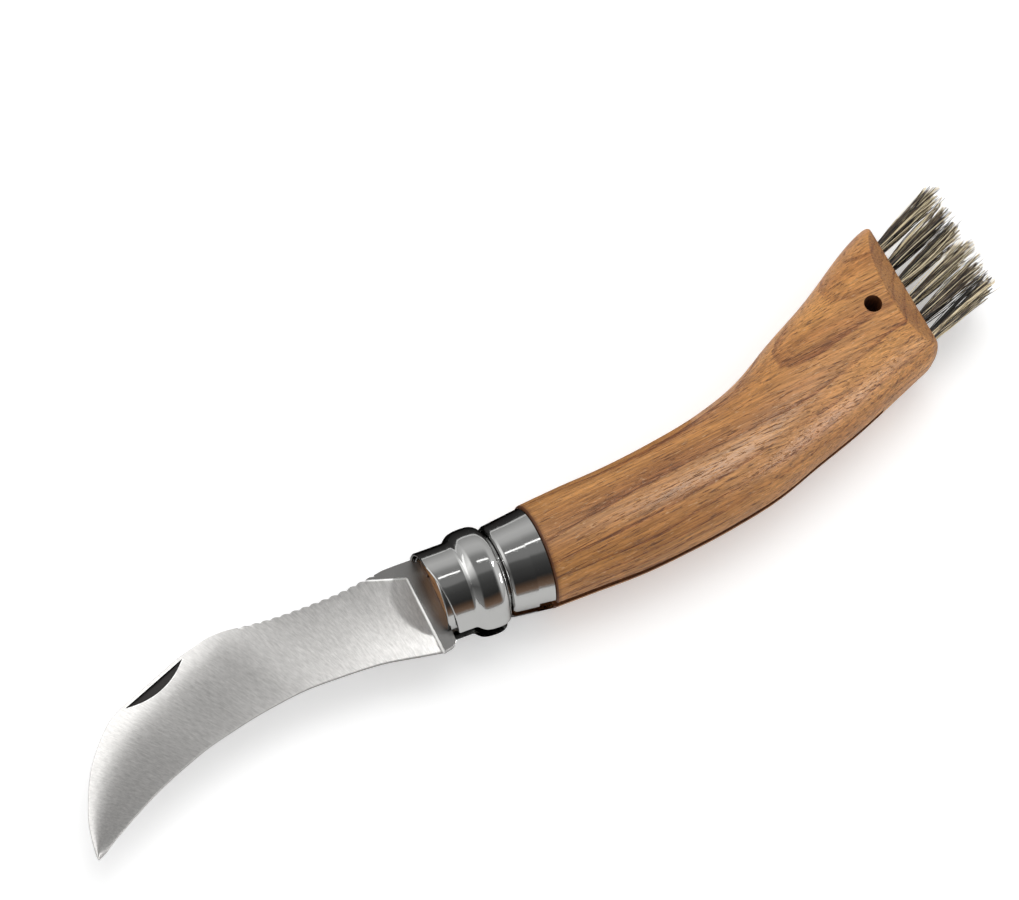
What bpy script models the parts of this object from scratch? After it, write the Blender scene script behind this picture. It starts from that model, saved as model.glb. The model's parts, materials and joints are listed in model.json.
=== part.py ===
"""A folding mushroom knife with a hooked blade, a turning lock ring and a bristle brush.

The knife lies on its side with the blade open. +Z is up, the collar's axis runs along X, the blade
points along -X with its cutting edge towards -Y, and the handle curves towards +Y. Lengths are metres.
While it is modelled, the origin is the middle of the collar's front rim. At the end the whole knife
is moved, so that the origin is the middle of its bounding box's floor.
"""

import math

import bmesh
import bpy
import numpy as np
from mathutils import Matrix, Vector

mm = 0.001

# Running gaps between pieces
fit_gap = 0.1 * mm  # pressed or turning round pieces
slot_gap = 0.25 * mm  # each side of the blade in its slot
stop_gap = 0.3 * mm  # pieces that meet at a stop
cut_overrun = 1.0 * mm  # how far every cutter runs past the piece it cuts

# Collar: the fixed ferrule and the lock ring on it
collar_length = 21.2 * mm
ferrule_setback = 0.2 * mm
ferrule_sleeve_step = 1.2 * mm  # how far the sleeve lies inside the band's front
ferrule_sleeve_wall = 0.5 * mm
ferrule_band_step = 1.1 * mm  # how far the band's front lies inside the wood behind it
ferrule_band_flare = 0.85 * mm  # how far the band widens to its rear
ferrule_band_wall = 0.7 * mm
ferrule_band_length = 8.3 * mm
ferrule_band_round = 1.2 * mm
ferrule_notch_length = 3.2 * mm
ferrule_notch_width = 4.2 * mm
ring_wall = 0.6 * mm
ring_bead_step = 0.2 * mm  # how far the bead's top lies inside the wood
ring_bead_length = 7.2 * mm
ring_gap_top = 1.15 * mm
ring_gap_bottom = 3.05 * mm
ring_front_lead = 0.5 * mm
ring_slant_start = 3.0 * mm
ring_slant_drop = 12.3 * mm
ring_slant_depth = 2.5 * mm
ring_straight_top = math.radians(28)  # each side of the gap, the sheet stays straight this far round
ring_straight_bottom = math.radians(44)
ring_turn = math.radians(50)
collar_sides = 48

# Pivot pin
pivot_setback = 8.0 * mm
pivot_drop = 2.0 * mm
pin_radius = 1.5 * mm
pin_sides = 20

# Blade
blade_reach = 76.1 * mm
blade_hook_drop = 25.4 * mm
blade_thickness = 1.7 * mm
blade_tip_thickness = 1.1 * mm
blade_edge_thickness = 0.14 * mm
blade_spine_height = 7.7 * mm
blade_heel_drop = 11.2 * mm
heel_round = 1.4 * mm
shoulder_setback = 0.6 * mm
plunge_setback = 1.9 * mm
plunge_height = 4.6 * mm
plunge_lean = 0.9 * mm
flat_length = 7.3 * mm
blade_closing = math.radians(178)
serration_count = 14
serration_pitch = 1.94 * mm
serration_depth = 0.28 * mm
serration_start = 8.4 * mm
points_per_lobe = 5
nick_length = 14.4 * mm
nick_width = 1.9 * mm
nick_depth = 0.5 * mm
nick_margin = 0.6 * mm
nick_start = 47.6 * mm

# Handle
handle_length = 87.3 * mm
handle_rise = 25.0 * mm
handle_front_radius = 10.1 * mm
handle_end_half_width = 15.3 * mm
handle_belly_half_height = 10.2 * mm
handle_end_half_height = 9.7 * mm
handle_front_round = 0.4 * mm
handle_end_tilt = math.radians(5.2)
handle_bevel_length = 5.3 * mm
handle_bevel_height = 4.5 * mm
handle_corner_radius = 2.4 * mm
handle_corner_height = 11.0 * mm
handle_sides = 40
lanyard_hole_radius = 1.75 * mm
lanyard_hole_setback = 8.9 * mm
lanyard_hole_height = 21.5 * mm

# Brush
tufts_along = 6
tuft_rows = 2
tuft_pitch = 4.0 * mm
row_pitch = 3.8 * mm
tuft_hole_radius = 1.05 * mm
tuft_hole_depth = 5.0 * mm
tuft_hole_sides = 12
tuft_seat = 0.5 * mm
tuft_tip_radius = 1.9 * mm
brush_centre_height = 24.1 * mm
brush_lean = math.radians(23)
brush_fan = math.radians(3)
brush_row_fan = math.radians(4)
bristle_length = 18.8 * mm
bristle_radius = 0.11 * mm
bristles_per_tuft = 28
anchor_width = 1.8 * mm
anchor_height = 1.4 * mm
anchor_thickness = 0.4 * mm

# Sizes that follow from the ones above
ferrule_band_radius = handle_front_radius - ferrule_band_step
ferrule_sleeve_radius = ferrule_band_radius - ferrule_sleeve_step
ferrule_bore = ferrule_sleeve_radius - ferrule_sleeve_wall
ferrule_band_bore = ferrule_band_radius - ferrule_band_wall
ferrule_band_start = collar_length - ferrule_band_length
ring_end = ferrule_band_start - stop_gap
ring_bead_start = ring_end - ring_bead_length
ring_bead_radius = handle_front_radius - ring_bead_step
ring_bore = ferrule_sleeve_radius + fit_gap
ring_radius = ring_bore + ring_wall
slot_width = blade_thickness + 2 * slot_gap
tang_half_height = ring_bore - pivot_drop - 2 * slot_gap
pivot = (pivot_setback, -pivot_drop)


def ring_front_at(height):
    """Where the ring's front edge lies along X at this height: straight at first, then slanting back."""
    slant = max(ring_slant_start - height, 0) / ring_slant_drop
    return ring_slant_depth * slant - ring_front_lead


heel_back = ring_front_at(-ring_radius * math.cos(ring_turn)) - stop_gap

# Outlines, as shares of the sizes that they follow
# Spine beyond the serrations: share of blade_reach, share of blade_hook_drop
outer_spine_shares = [
    (0.468, 0.268),
    (0.505, 0.280),
    (0.545, 0.276),
    (0.590, 0.244),
    (0.632, 0.210),
    (0.677, 0.160),
    (0.722, 0.105),
    (0.768, 0.051),
    (0.806, 0.004),
    (0.843, -0.055),
    (0.873, -0.134),
    (0.899, -0.220),
    (0.924, -0.315),
    (0.947, -0.430),
    (0.970, -0.580),
    (0.987, -0.720),
    (0.996, -0.855),
    (1.000, -0.960),
    (0.998, -1.000),
]
# Spine where it is serrated: share of the serrated length, share of blade_spine_height
inner_spine_shares = [
    (0.0, 0.952),
    (0.108, 0.909),
    (0.25, 0.845),
    (0.404, 0.812),
    (0.551, 0.803),
    (0.695, 0.805),
    (0.831, 0.825),
    (1.0, 0.884),
]
# Cutting edge: share of blade_reach, share of blade_hook_drop
edge_shares = [
    (0.088, -0.408),
    (0.180, -0.362),
    (0.288, -0.348),
    (0.389, -0.352),
    (0.505, -0.402),
    (0.586, -0.455),
    (0.654, -0.508),
    (0.727, -0.587),
    (0.791, -0.665),
    (0.841, -0.738),
    (0.903, -0.836),
    (0.949, -0.916),
    (0.974, -0.966),
]
# Handle: share of handle_length, of handle_rise, and of the way from front radius to end half width
handle_shares = [
    (0.000, 0.006, 0.000),
    (0.098, 0.024, 0.062),
    (0.212, 0.041, 0.115),
    (0.325, 0.086, 0.144),
    (0.438, 0.153, 0.188),
    (0.551, 0.261, 0.303),
    (0.664, 0.440, 0.510),
    (0.778, 0.615, 0.697),
    (0.891, 0.821, 0.918),
    (0.947, 0.914, 0.990),
    (0.981, 0.968, 0.923),
    (1.000, 1.020, 0.700),
]
# Lock ring's bead: share of the way along it, share of its rise
bead_shares = [
    (0.0, 0.0),
    (0.10, 0.14),
    (0.24, 0.58),
    (0.38, 0.84),
    (0.55, 1.0),
    (0.70, 0.90),
    (0.84, 0.50),
    (0.95, 0.08),
]


def material(name, colour, roughness, metallic=0.0):
    made = bpy.data.materials.new(name)
    made.use_nodes = True
    shader = made.node_tree.nodes["Principled BSDF"]
    shader.inputs["Base Color"].default_value = (*colour, 1)
    shader.inputs["Roughness"].default_value = roughness
    shader.inputs["Metallic"].default_value = metallic
    made.diffuse_color = (*colour, 1)
    return made


def add_object(name, shape, finish, parent):
    """Makes a bmesh into a named object with one material."""
    mesh = bpy.data.meshes.new(name)
    bmesh.ops.recalc_face_normals(shape, faces=shape.faces)
    shape.to_mesh(mesh)
    shape.free()
    made = bpy.data.objects.new(name, mesh)
    if finish:
        mesh.materials.append(finish)
    made.parent = parent
    bpy.context.scene.collection.objects.link(made)
    return made


def add_cutter(name, shape, parent):
    made = add_object(name, shape, None, parent)
    made.hide_render = True
    made.display_type = "WIRE"
    return made


def add_empty(name, parent, location=(0, 0, 0)):
    made = bpy.data.objects.new(name, None)
    made.parent = parent
    made.location = location
    bpy.context.scene.collection.objects.link(made)
    return made


def apply_boolean(target, cutter, operation="DIFFERENCE"):
    made = target.modifiers.new(operation.lower() + "_" + cutter.name, "BOOLEAN")
    made.operation = operation
    made.object = cutter


def curve_through(points, steps):
    """A Catmull-Rom curve through the points, with steps spans between each two."""
    nodes = np.array(points, float)
    nodes = np.vstack([2 * nodes[0] - nodes[1], nodes, 2 * nodes[-1] - nodes[-2]])
    t = np.arange(steps)[:, None] / steps
    spans = []
    for a, b, c, d in zip(nodes, nodes[1:], nodes[2:], nodes[3:]):
        linear = (c - a) * t
        square = (2 * a - 5 * b + 4 * c - d) * t**2
        cube = (3 * b - a - 3 * c + d) * t**3
        spans.append(b + (linear + square + cube) / 2)
    return np.vstack(spans + [nodes[-2:-1]])


def prism(outline, low, high):
    """The outline's points, in order, extruded from low to high along Z."""
    shape = bmesh.new()
    corners = [shape.verts.new((x, y, low)) for x, y in outline]
    face = shape.faces.new(corners)
    raised = bmesh.ops.extrude_face_region(shape, geom=[face])
    lifted = [item for item in raised["geom"] if isinstance(item, bmesh.types.BMVert)]
    bmesh.ops.translate(shape, verts=lifted, vec=(0, 0, high - low))
    return shape


def turned(profile, sides, stretch=lambda angle: 1):
    """The closed profile of (place on the axis, radius) points, turned right round the X axis."""
    shape = bmesh.new()
    rings = []
    for k in range(sides):
        angle = 2 * math.pi * (k + 0.5) / sides
        across, up = stretch(angle) * math.cos(angle), stretch(angle) * math.sin(angle)
        rings.append([shape.verts.new((x, r * across, r * up)) for x, r in profile])
    for ring, following in zip(rings, rings[1:] + rings[:1]):
        for i in range(len(profile)):
            j = (i + 1) % len(profile)
            shape.faces.new((ring[i], ring[j], following[j], following[i]))
    return shape


def rod(radius, start, end, sides):
    """A round rod along Z from start to end."""
    angles = [2 * math.pi * (k + 0.5) / sides for k in range(sides)]
    return prism([(radius * math.cos(a), radius * math.sin(a)) for a in angles], start, end)


def box(low, high):
    outline = [(low[0], low[1]), (high[0], low[1]), (high[0], high[1]), (low[0], high[1])]
    return prism(outline, low[2], high[2])


def join(shapes):
    """Several bmeshes as one, still as separate bodies."""
    whole = bmesh.new()
    for shape in shapes:
        mesh = bpy.data.meshes.new("joined")
        shape.to_mesh(mesh)
        shape.free()
        whole.from_mesh(mesh)
        bpy.data.meshes.remove(mesh)
    return whole


def turn_about_pivot(points, angle):
    """Points of the open blade, where they lie once it has turned by the angle towards its handle."""
    centre = np.array(pivot)
    turn = np.array([[math.cos(angle), math.sin(angle)], [-math.sin(angle), math.cos(angle)]])
    return (np.asarray(points) - centre) @ turn + centre


def serrated_spine():
    """The spine from the flat's end to the last serration: round lobes with sharp valleys between them."""
    length = serration_count * serration_pitch
    rises = curve_through([(s, h * blade_spine_height) for s, h in inner_spine_shares], 12)
    share = np.linspace(0, 1, serration_count * points_per_lobe + 1)
    lobe = np.abs(np.sin(math.pi * serration_count * share))
    height = np.interp(share, rises[:, 0], rises[:, 1]) - serration_depth * (1 - lobe)
    return np.stack([-serration_start - share * length, height], 1)


def spine_outline():
    """The spine from the flat's end to the tip."""
    outer = curve_through([(-blade_reach * s, blade_hook_drop * h) for s, h in outer_spine_shares], 2)
    return np.vstack([serrated_spine(), outer])


def edge_outline():
    """The cutting edge from the plunge line to just short of the tip."""
    heel = [(-plunge_setback, -blade_heel_drop)]
    return curve_through(heel + [(-blade_reach * s, blade_hook_drop * h) for s, h in edge_shares], 3)


def heel_outline():
    """The flat's lower edge, its round corner, and its back, where it faces the lock ring."""
    centre = (heel_back - heel_round, -blade_heel_drop + stop_gap + heel_round)
    arc = [math.radians(angle) for angle in (-90, -60, -30, 0)]
    corner = [(centre[0] + heel_round * math.cos(a), centre[1] + heel_round * math.sin(a)) for a in arc]
    return corner + [(heel_back, -pivot_drop - tang_half_height)]


def tip_radius():
    tip = np.array([-blade_reach, -blade_hook_drop])
    return float(np.linalg.norm(tip - np.array(pivot)))


def build_blade(steel, parent):
    """A flat tang and root, a ground blade that thins from spine to edge, and the nick in its near face."""
    half = blade_thickness / 2
    tail = [math.radians(angle) for angle in range(-90, 91, 15)]
    tang_top = -pivot_drop + tang_half_height
    spine_in_collar = ferrule_bore - stop_gap
    plate = [
        (-plunge_setback, -blade_heel_drop),
        *heel_outline(),
        *[
            (pivot[0] + tang_half_height * math.cos(a), pivot[1] + tang_half_height * math.sin(a))
            for a in tail
        ],
        (shoulder_setback, tang_top),
        (shoulder_setback, spine_in_collar),
        (ferrule_setback - stop_gap, spine_in_collar),
        (-ring_front_lead - stop_gap, blade_spine_height),
        (-flat_length, blade_spine_height),
        *[(x, y - fit_gap / 2) for x, y in serrated_spine()[: points_per_lobe + 1]],
        (-plunge_setback - plunge_lean, plunge_height),
    ]
    to_pivot = Matrix.Translation((-pivot[0], -pivot[1], 0))
    tang = prism(plate, -half, half)
    bmesh.ops.transform(tang, matrix=to_pivot, verts=tang.verts)
    blade = add_object("blade", tang, steel, parent)

    ground = ground_blade()
    bmesh.ops.transform(ground, matrix=to_pivot, verts=ground.verts)
    apply_boolean(blade, add_cutter("blade_ground_part", ground, parent), "UNION")

    bore = rod(pin_radius + fit_gap, -half - cut_overrun, half + cut_overrun, pin_sides)
    apply_boolean(blade, add_cutter("blade_pivot_bore", bore, parent))

    nick = nail_nick()
    bmesh.ops.transform(nick, matrix=to_pivot, verts=nick.verts)
    apply_boolean(blade, add_cutter("blade_nail_nick", nick, parent))
    return blade


def ground_blade():
    """Straight rungs from spine to edge, spaced by distance along each, thick at the spine."""
    spine = spine_outline()
    start = (-plunge_setback, blade_spine_height - fit_gap)
    spine = np.vstack([[start], spine])
    edge = edge_outline()
    tip = spine[-1]

    def distances(line):
        steps = np.linalg.norm(np.diff(line, axis=0), axis=1)
        return np.concatenate([[0], np.cumsum(steps)]) / steps.sum()

    along = distances(spine)
    edge = np.vstack([edge, [tip]])
    edge_along = distances(edge)
    shape = bmesh.new()
    rungs = []
    for s, point in zip(along[:-1], spine[:-1]):
        foot = [np.interp(s, edge_along, edge[:, i]) for i in range(2)]
        back = (blade_thickness + (blade_tip_thickness - blade_thickness) * s) / 2
        front = blade_edge_thickness / 2
        corners = [(*point, back), (*foot, front), (*foot, -front), (*point, -back)]
        rungs.append([shape.verts.new(corner) for corner in corners])
    for rung, following in zip(rungs, rungs[1:]):
        for i in range(4):
            j = (i + 1) % 4
            shape.faces.new((rung[i], rung[j], following[j], following[i]))
    shape.faces.new(rungs[0][::-1])
    end = [shape.verts.new((*tip, side * blade_edge_thickness / 2)) for side in (1, -1)]
    last = rungs[-1]
    shape.faces.new((last[0], last[1], end[0]))
    shape.faces.new((last[1], last[2], end[1], end[0]))
    shape.faces.new((last[2], last[3], end[1]))
    shape.faces.new((last[3], last[0], end[0], end[1]))
    bmesh.ops.triangulate(shape, faces=shape.faces)
    return shape


def nail_nick():
    """A crescent whose straight side runs along the spine, cut into the upper face."""
    outline = spine_outline()
    first = int(np.argmin(np.abs(outline[:, 0] + nick_start)))
    start = outline[first]
    far = outline[first:]
    reach = np.linalg.norm(far - start, axis=1)
    end = far[int(np.argmin(np.abs(reach - nick_length)))]
    direction = (end - start) / np.linalg.norm(end - start)
    inward = np.array([-direction[1], direction[0]])
    start = start + inward * nick_margin
    middle = start + direction * nick_length / 2
    arc = [
        middle + direction * nick_length / 2 * math.cos(a) + inward * nick_width * math.sin(a) ** 1.3
        for a in np.linspace(0, math.pi, 13)
    ]
    share = np.linalg.norm(middle) / tip_radius()
    face = (blade_thickness + (blade_tip_thickness - blade_thickness) * share) / 2
    return prism(arc, face - nick_depth, face + cut_overrun)


def build_ferrule(steel, parent):
    """A thin sleeve under the lock ring, and a band that widens to the wood, slit along its lower side."""
    shoulder = ferrule_band_start
    radius = ferrule_band_round
    rounded = [
        (
            shoulder + radius * (1 - math.cos(math.radians(a))),
            ferrule_band_radius - radius * (1 - math.sin(math.radians(a))),
        )
        for a in (0, 30, 60, 90)
    ]
    profile = [
        (ferrule_setback, ferrule_bore),
        (ferrule_setback, ferrule_sleeve_radius),
        (shoulder, ferrule_sleeve_radius),
        *rounded,
        (collar_length, ferrule_band_radius + ferrule_band_flare),
        (collar_length, ferrule_band_bore + ferrule_band_flare),
        (shoulder + ferrule_band_wall, ferrule_band_bore),
        (shoulder + ferrule_band_wall, ferrule_bore),
    ]
    ferrule = add_object("fixed_ferrule", turned(profile, collar_sides), steel, parent)
    low = -ferrule_band_radius - cut_overrun
    half = slot_width / 2
    slit = box((-cut_overrun, low, -half), (collar_length + cut_overrun, 0, half))
    apply_boolean(ferrule, add_cutter("ferrule_slit", slit, parent))
    half = ferrule_notch_width / 2
    notch = box((collar_length - ferrule_notch_length, low, -half), (collar_length + cut_overrun, 0, half))
    apply_boolean(ferrule, add_cutter("ferrule_notch", notch, parent))
    reach = ferrule_sleeve_radius + cut_overrun
    hole = rod(pin_radius + fit_gap, -reach, reach, pin_sides)
    cutter = add_cutter("ferrule_pin_hole", hole, parent)
    cutter.location = (*pivot, 0)
    apply_boolean(ferrule, cutter)
    return ferrule


def ring_stretch(angle):
    """How far the sheet stands off the round: beside its gap it wasn't rolled, and so it stays straight."""
    around = math.pi - angle
    straight, gap = ring_straight_bottom, ring_gap_bottom
    if around > 0:
        straight, gap = ring_straight_top, ring_gap_top
    cut = math.asin(gap / ring_radius)
    return 1 / math.cos(max(straight - max(abs(around), cut), 0))


def build_ring(steel, parent):
    """A split sheet ring with a raised bead to grip, and a slanted front edge that wedges on the heel."""
    rise = ring_bead_radius - ring_radius
    bead_length = ring_end - ring_bead_start
    outer = [(ring_bead_start + s * bead_length, ring_radius + h * rise) for s, h in bead_shares]
    inner = [(x, max(ring_bore, r - ring_wall - stop_gap / 2)) for x, r in outer[1:-1]]
    profile = [
        (-ring_front_lead, ring_bore),
        (-ring_front_lead, ring_radius),
        *outer,
        (ring_end, ring_radius),
        (ring_end, ring_bore),
        *reversed(inner),
    ]
    sheet = turned(profile, collar_sides, ring_stretch)
    ring = add_object("lock_ring", sheet, steel, parent)
    low = -2 * ring_bead_radius
    gap = box((-cut_overrun, low, -ring_gap_bottom), (ring_end + cut_overrun, 0, ring_gap_top))
    apply_boolean(ring, add_cutter("ring_gap", gap, parent))
    front = -ring_front_lead
    slant = prism(
        [
            (front - cut_overrun, ring_slant_start),
            (front - cut_overrun, low),
            (ring_front_at(low), low),
            (front, ring_slant_start),
        ],
        low,
        -low,
    )
    apply_boolean(ring, add_cutter("ring_slant", slant, parent))
    return ring


def build_pin(steel, parent):
    """The rivet that the blade turns on, flush with the sleeve, so that the ring turns over it."""
    half = math.sqrt(ferrule_sleeve_radius**2 - (pivot_drop + pin_radius) ** 2)
    pin = add_object("pivot_pin", rod(pin_radius, -half, half, pin_sides), steel, parent)
    pin.location = (*pivot, 0)
    return pin


def handle_end_at(height):
    """Where the handle's tilted end face lies along X at this height across it."""
    return collar_length + handle_length - (height - handle_rise) * math.tan(handle_end_tilt)


def handle_section(share, rise, widening):
    """Centre, half width, half height and squareness of the handle at this share of its length."""
    half_width = handle_front_radius + widening * (handle_end_half_width - handle_front_radius)
    belly_share = 0.35
    if share < belly_share:
        blend = math.sin(math.pi / 2 * share / belly_share)
        half_height = handle_front_radius + blend * (handle_belly_half_height - handle_front_radius)
    else:
        blend = (share - belly_share) / (1 - belly_share)
        half_height = handle_belly_half_height
        half_height += blend**2 * (handle_end_half_height - handle_belly_half_height)
    return rise * handle_rise, half_width, half_height, 2 + 0.5 * share


def handle_body():
    """Superellipse sections in planes square to X, carried along the curved centre line."""
    spigot = ferrule_bore - fit_gap
    band_seat = ferrule_band_bore - fit_gap
    seat_rear = band_seat + ferrule_band_flare
    step = ferrule_band_start + ferrule_band_wall + fit_gap
    front = ferrule_setback + shoulder_setback + stop_gap
    shoulder = collar_length + fit_gap
    eased = handle_front_radius - handle_front_round
    rings = [
        (front, 0, spigot, spigot, 2),
        (step, 0, spigot, spigot, 2),
        (step, 0, band_seat, band_seat, 2),
        (shoulder, 0, seat_rear, seat_rear, 2),
        (shoulder, 0, eased, eased, 2),
    ]
    stations = curve_through(handle_shares, 2)
    for share, rise, widening in stations:
        centre, half_width, half_height, power = handle_section(share, rise, widening)
        place = shoulder + share * (handle_length + cut_overrun)
        if share == 0:
            place += handle_front_round
        rings.append((place, centre, half_width, half_height, power))
    shape = bmesh.new()
    loops = []
    for place, centre, half_width, half_height, power in rings:
        loop = []
        for k in range(handle_sides):
            angle = 2 * math.pi * (k + 0.5) / handle_sides
            across, up = math.cos(angle), math.sin(angle)
            y = math.copysign(abs(across) ** (2 / power), across) * half_width
            z = math.copysign(abs(up) ** (2 / power), up) * half_height
            loop.append(shape.verts.new((place, centre + y, z)))
        loops.append(loop)
    for loop, following in zip(loops, loops[1:]):
        for i in range(handle_sides):
            j = (i + 1) % handle_sides
            shape.faces.new((loop[i], loop[j], following[j], following[i]))
    shape.faces.new(loops[0][::-1])
    shape.faces.new(loops[-1])
    return shape


def end_block():
    """A block to keep: its far end is the tilted end face, with a sanded bevel above and below it."""
    reach = handle_belly_half_height + cut_overrun
    flat = handle_end_half_height - handle_bevel_height
    slope = handle_bevel_length / handle_bevel_height
    profile = [
        (-cut_overrun, reach),
        (-cut_overrun, -reach),
        (-(reach - flat) * slope, -reach),
        (0, -flat),
        (0, flat),
        (-(reach - flat) * slope, reach),
    ]
    length = collar_length + handle_length + cut_overrun
    profile = [(x - (length if i < 2 else 0), z) for i, (x, z) in enumerate(profile)]
    width = handle_rise + handle_length
    block = prism(profile, -width, width)
    stand = Matrix.Rotation(math.pi / 2, 4, "X")
    lean = Matrix.Rotation(handle_end_tilt, 4, "Z")
    place = Matrix.Translation((collar_length + handle_length, handle_rise, 0))
    bmesh.ops.transform(block, matrix=place @ lean @ stand, verts=block.verts)
    return block


def end_corner():
    """What the sanding takes off the end's lower corner, outside a round of handle_corner_radius."""
    radius = handle_corner_radius
    centre = (handle_end_at(handle_corner_height) - radius, handle_corner_height)
    far = 2 * radius
    turns = np.linspace(math.radians(-75), handle_end_tilt, 8)
    arc = [(centre[0] + radius * math.cos(a), centre[1] + radius * math.sin(a)) for a in turns]
    low, right = centre[1] - far, centre[0] + far
    corner = [(arc[0][0], low), (right, low), (right, arc[-1][1])]
    reach = handle_belly_half_height + cut_overrun
    return prism(arc[::-1] + corner, -reach, reach)


def blade_slot():
    """All that the blade sweeps: open below, and bounded above by the closed blade's edge."""
    closed = turn_about_pivot(np.vstack([heel_outline()[::-1], edge_outline()]), blade_closing)
    lift = 2 * slot_gap
    above = closed + np.array([-lift, lift])
    tang_top = -pivot_drop + tang_half_height + lift
    front = -cut_overrun
    floor = -handle_front_radius - handle_rise
    radius = tip_radius() + lift
    start = math.atan2(above[-1][1] - pivot[1], above[-1][0] - pivot[0])
    tip_arc = [
        (pivot[0] + radius * math.cos(a), pivot[1] + radius * math.sin(a))
        for a in np.linspace(start, start - math.radians(22), 8)
    ]
    rise_start = pivot[0] + tang_half_height + lift
    outline = [(front, floor), (tip_arc[-1][0], floor), *tip_arc[::-1], *above[::-1]]
    outline += [(rise_start, tang_top), (front, tang_top)]
    return prism(outline, -slot_width / 2, slot_width / 2)


def tuft_places():
    """Each tuft's name, the middle of its hole's mouth, and its lean across and up."""
    places = []
    for row in range(tuft_rows):
        up = row - (tuft_rows - 1) / 2
        for k in range(tufts_along):
            across = k - (tufts_along - 1) / 2
            height = brush_centre_height + across * tuft_pitch
            mouth = (handle_end_at(height), height, up * row_pitch)
            lean = brush_lean + brush_fan * across / (tufts_along - 1)
            name = ("lower", "upper")[row > 0] + f"_{k + 1}"
            places.append((name, mouth, lean, up * brush_row_fan))
    return places


def along_lean(mouth, lean):
    """Turns a shape that points along Z so that it points out of the hole at the mouth."""
    return Matrix.Translation(mouth) @ Matrix.Rotation(lean, 4, "Z") @ Matrix.Rotation(math.pi / 2, 4, "Y")


def build_handle(wood, parent):
    handle = add_object("handle", handle_body(), wood, parent)
    apply_boolean(handle, add_cutter("handle_end_block", end_block(), parent), "INTERSECT")
    apply_boolean(handle, add_cutter("handle_end_corner", end_corner(), parent))
    apply_boolean(handle, add_cutter("handle_blade_slot", blade_slot(), parent))
    drilled = []
    for _, mouth, lean, _ in tuft_places():
        hole = rod(tuft_hole_radius, -tuft_hole_depth, cut_overrun, tuft_hole_sides)
        bmesh.ops.transform(hole, matrix=along_lean(mouth, lean), verts=hole.verts)
        drilled.append(hole)
    reach = handle_belly_half_height + cut_overrun
    hole_x = collar_length + handle_length - lanyard_hole_setback
    for place, radius in (
        ((*pivot, 0), pin_radius + fit_gap),
        ((hole_x, lanyard_hole_height, 0), lanyard_hole_radius),
    ):
        hole = rod(radius, -reach, reach, pin_sides)
        bmesh.ops.translate(hole, verts=hole.verts, vec=place)
        drilled.append(hole)
    apply_boolean(handle, add_cutter("handle_drill", join(drilled), parent))
    return handle


def bristle(root, tip, radius, twist):
    """One three-sided bristle: it leaves the hole straight, then spreads, and is cut square at its tip."""
    bend_share, spread_share = 0.4, 0.3
    root, tip = Vector(root), Vector(tip)
    bend = Vector((*(root.xy.lerp(tip.xy, spread_share)), root.z + bend_share * (tip.z - root.z)))
    shape = bmesh.new()
    loops = []
    for centre, size in ((root, 1.0), (bend, 0.95), (tip, 0.7)):
        angles = [twist + 2 * math.pi * k / 3 for k in range(3)]
        loops.append(
            [
                shape.verts.new(centre + Vector((math.cos(a), math.sin(a), 0)) * radius * size)
                for a in angles
            ]
        )
    for loop, following in zip(loops, loops[1:]):
        for i in range(3):
            j = (i + 1) % 3
            shape.faces.new((loop[i], loop[j], following[j], following[i]))
    shape.faces.new(loops[0][::-1])
    shape.faces.new(loops[-1])
    return shape


def build_tuft(name, mouth, lean, row_lean, hair, parent, chance):
    """A root of packed hair in its hole, notched for the anchor, with the bristles fused to its top."""
    root_radius = tuft_hole_radius - fit_gap
    base = -tuft_hole_depth + fit_gap
    tuft = add_object("tuft_" + name, rod(root_radius, base, -tuft_seat, tuft_hole_sides), hair, parent)
    bristles = []
    golden = math.pi * (3 - math.sqrt(5))
    packed = root_radius - 2 * bristle_radius
    spread = tuft_tip_radius / packed
    for k in range(bristles_per_tuft):
        distance = packed * math.sqrt((k + 0.5) / bristles_per_tuft)
        x, y = distance * math.cos(k * golden), distance * math.sin(k * golden)
        length = bristle_length * (1 - 0.06 * chance.random())
        sideways = -length * math.tan(row_lean)
        tip = (x * spread + sideways, y * spread, length)
        twist = chance.random() * 2 * math.pi
        bristles.append(bristle((x, y, -tuft_seat - 2 * bristle_radius), tip, bristle_radius, twist))
    turn = along_lean(mouth, lean)
    tuft.matrix_local = turn
    fused = add_cutter("bristles_" + name, join(bristles), parent)
    fused.matrix_local = turn
    apply_boolean(tuft, fused, "UNION")
    side = anchor_thickness / 2 + fit_gap
    notch = box(
        (-side, -root_radius - cut_overrun, base - cut_overrun),
        (side, root_radius + cut_overrun, base + anchor_height + 2 * fit_gap),
    )
    cutter = add_cutter("anchor_notch_" + name, notch, parent)
    cutter.matrix_local = turn
    apply_boolean(tuft, cutter)
    return tuft


def build_anchor(name, mouth, lean, steel, parent):
    """The flat wire driven into the hole's bottom, across the tuft's notched root."""
    half, side = anchor_width / 2, anchor_thickness / 2
    base = -tuft_hole_depth + fit_gap
    anchor = add_object(
        "anchor_" + name, box((-side, -half, base), (side, half, base + anchor_height)), steel, parent
    )
    anchor.matrix_local = along_lean(mouth, lean)
    return anchor


def settle(piece):
    """Applies the piece's cuts, and shades it smooth except across its sharp edges."""
    before, sharp = piece.data, math.radians(25 if piece.name == "blade" else 40)
    cut = piece.evaluated_get(bpy.context.evaluated_depsgraph_get())
    piece.data = bpy.data.meshes.new_from_object(cut)
    cutters = [modifier.object for modifier in piece.modifiers]
    piece.modifiers.clear()
    piece.data.name = piece.name
    piece.data.shade_smooth()
    piece.data.set_sharp_from_angle(angle=sharp)
    for cutter in cutters:
        bpy.data.objects.remove(cutter)
    bpy.data.meshes.remove(before)


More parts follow.
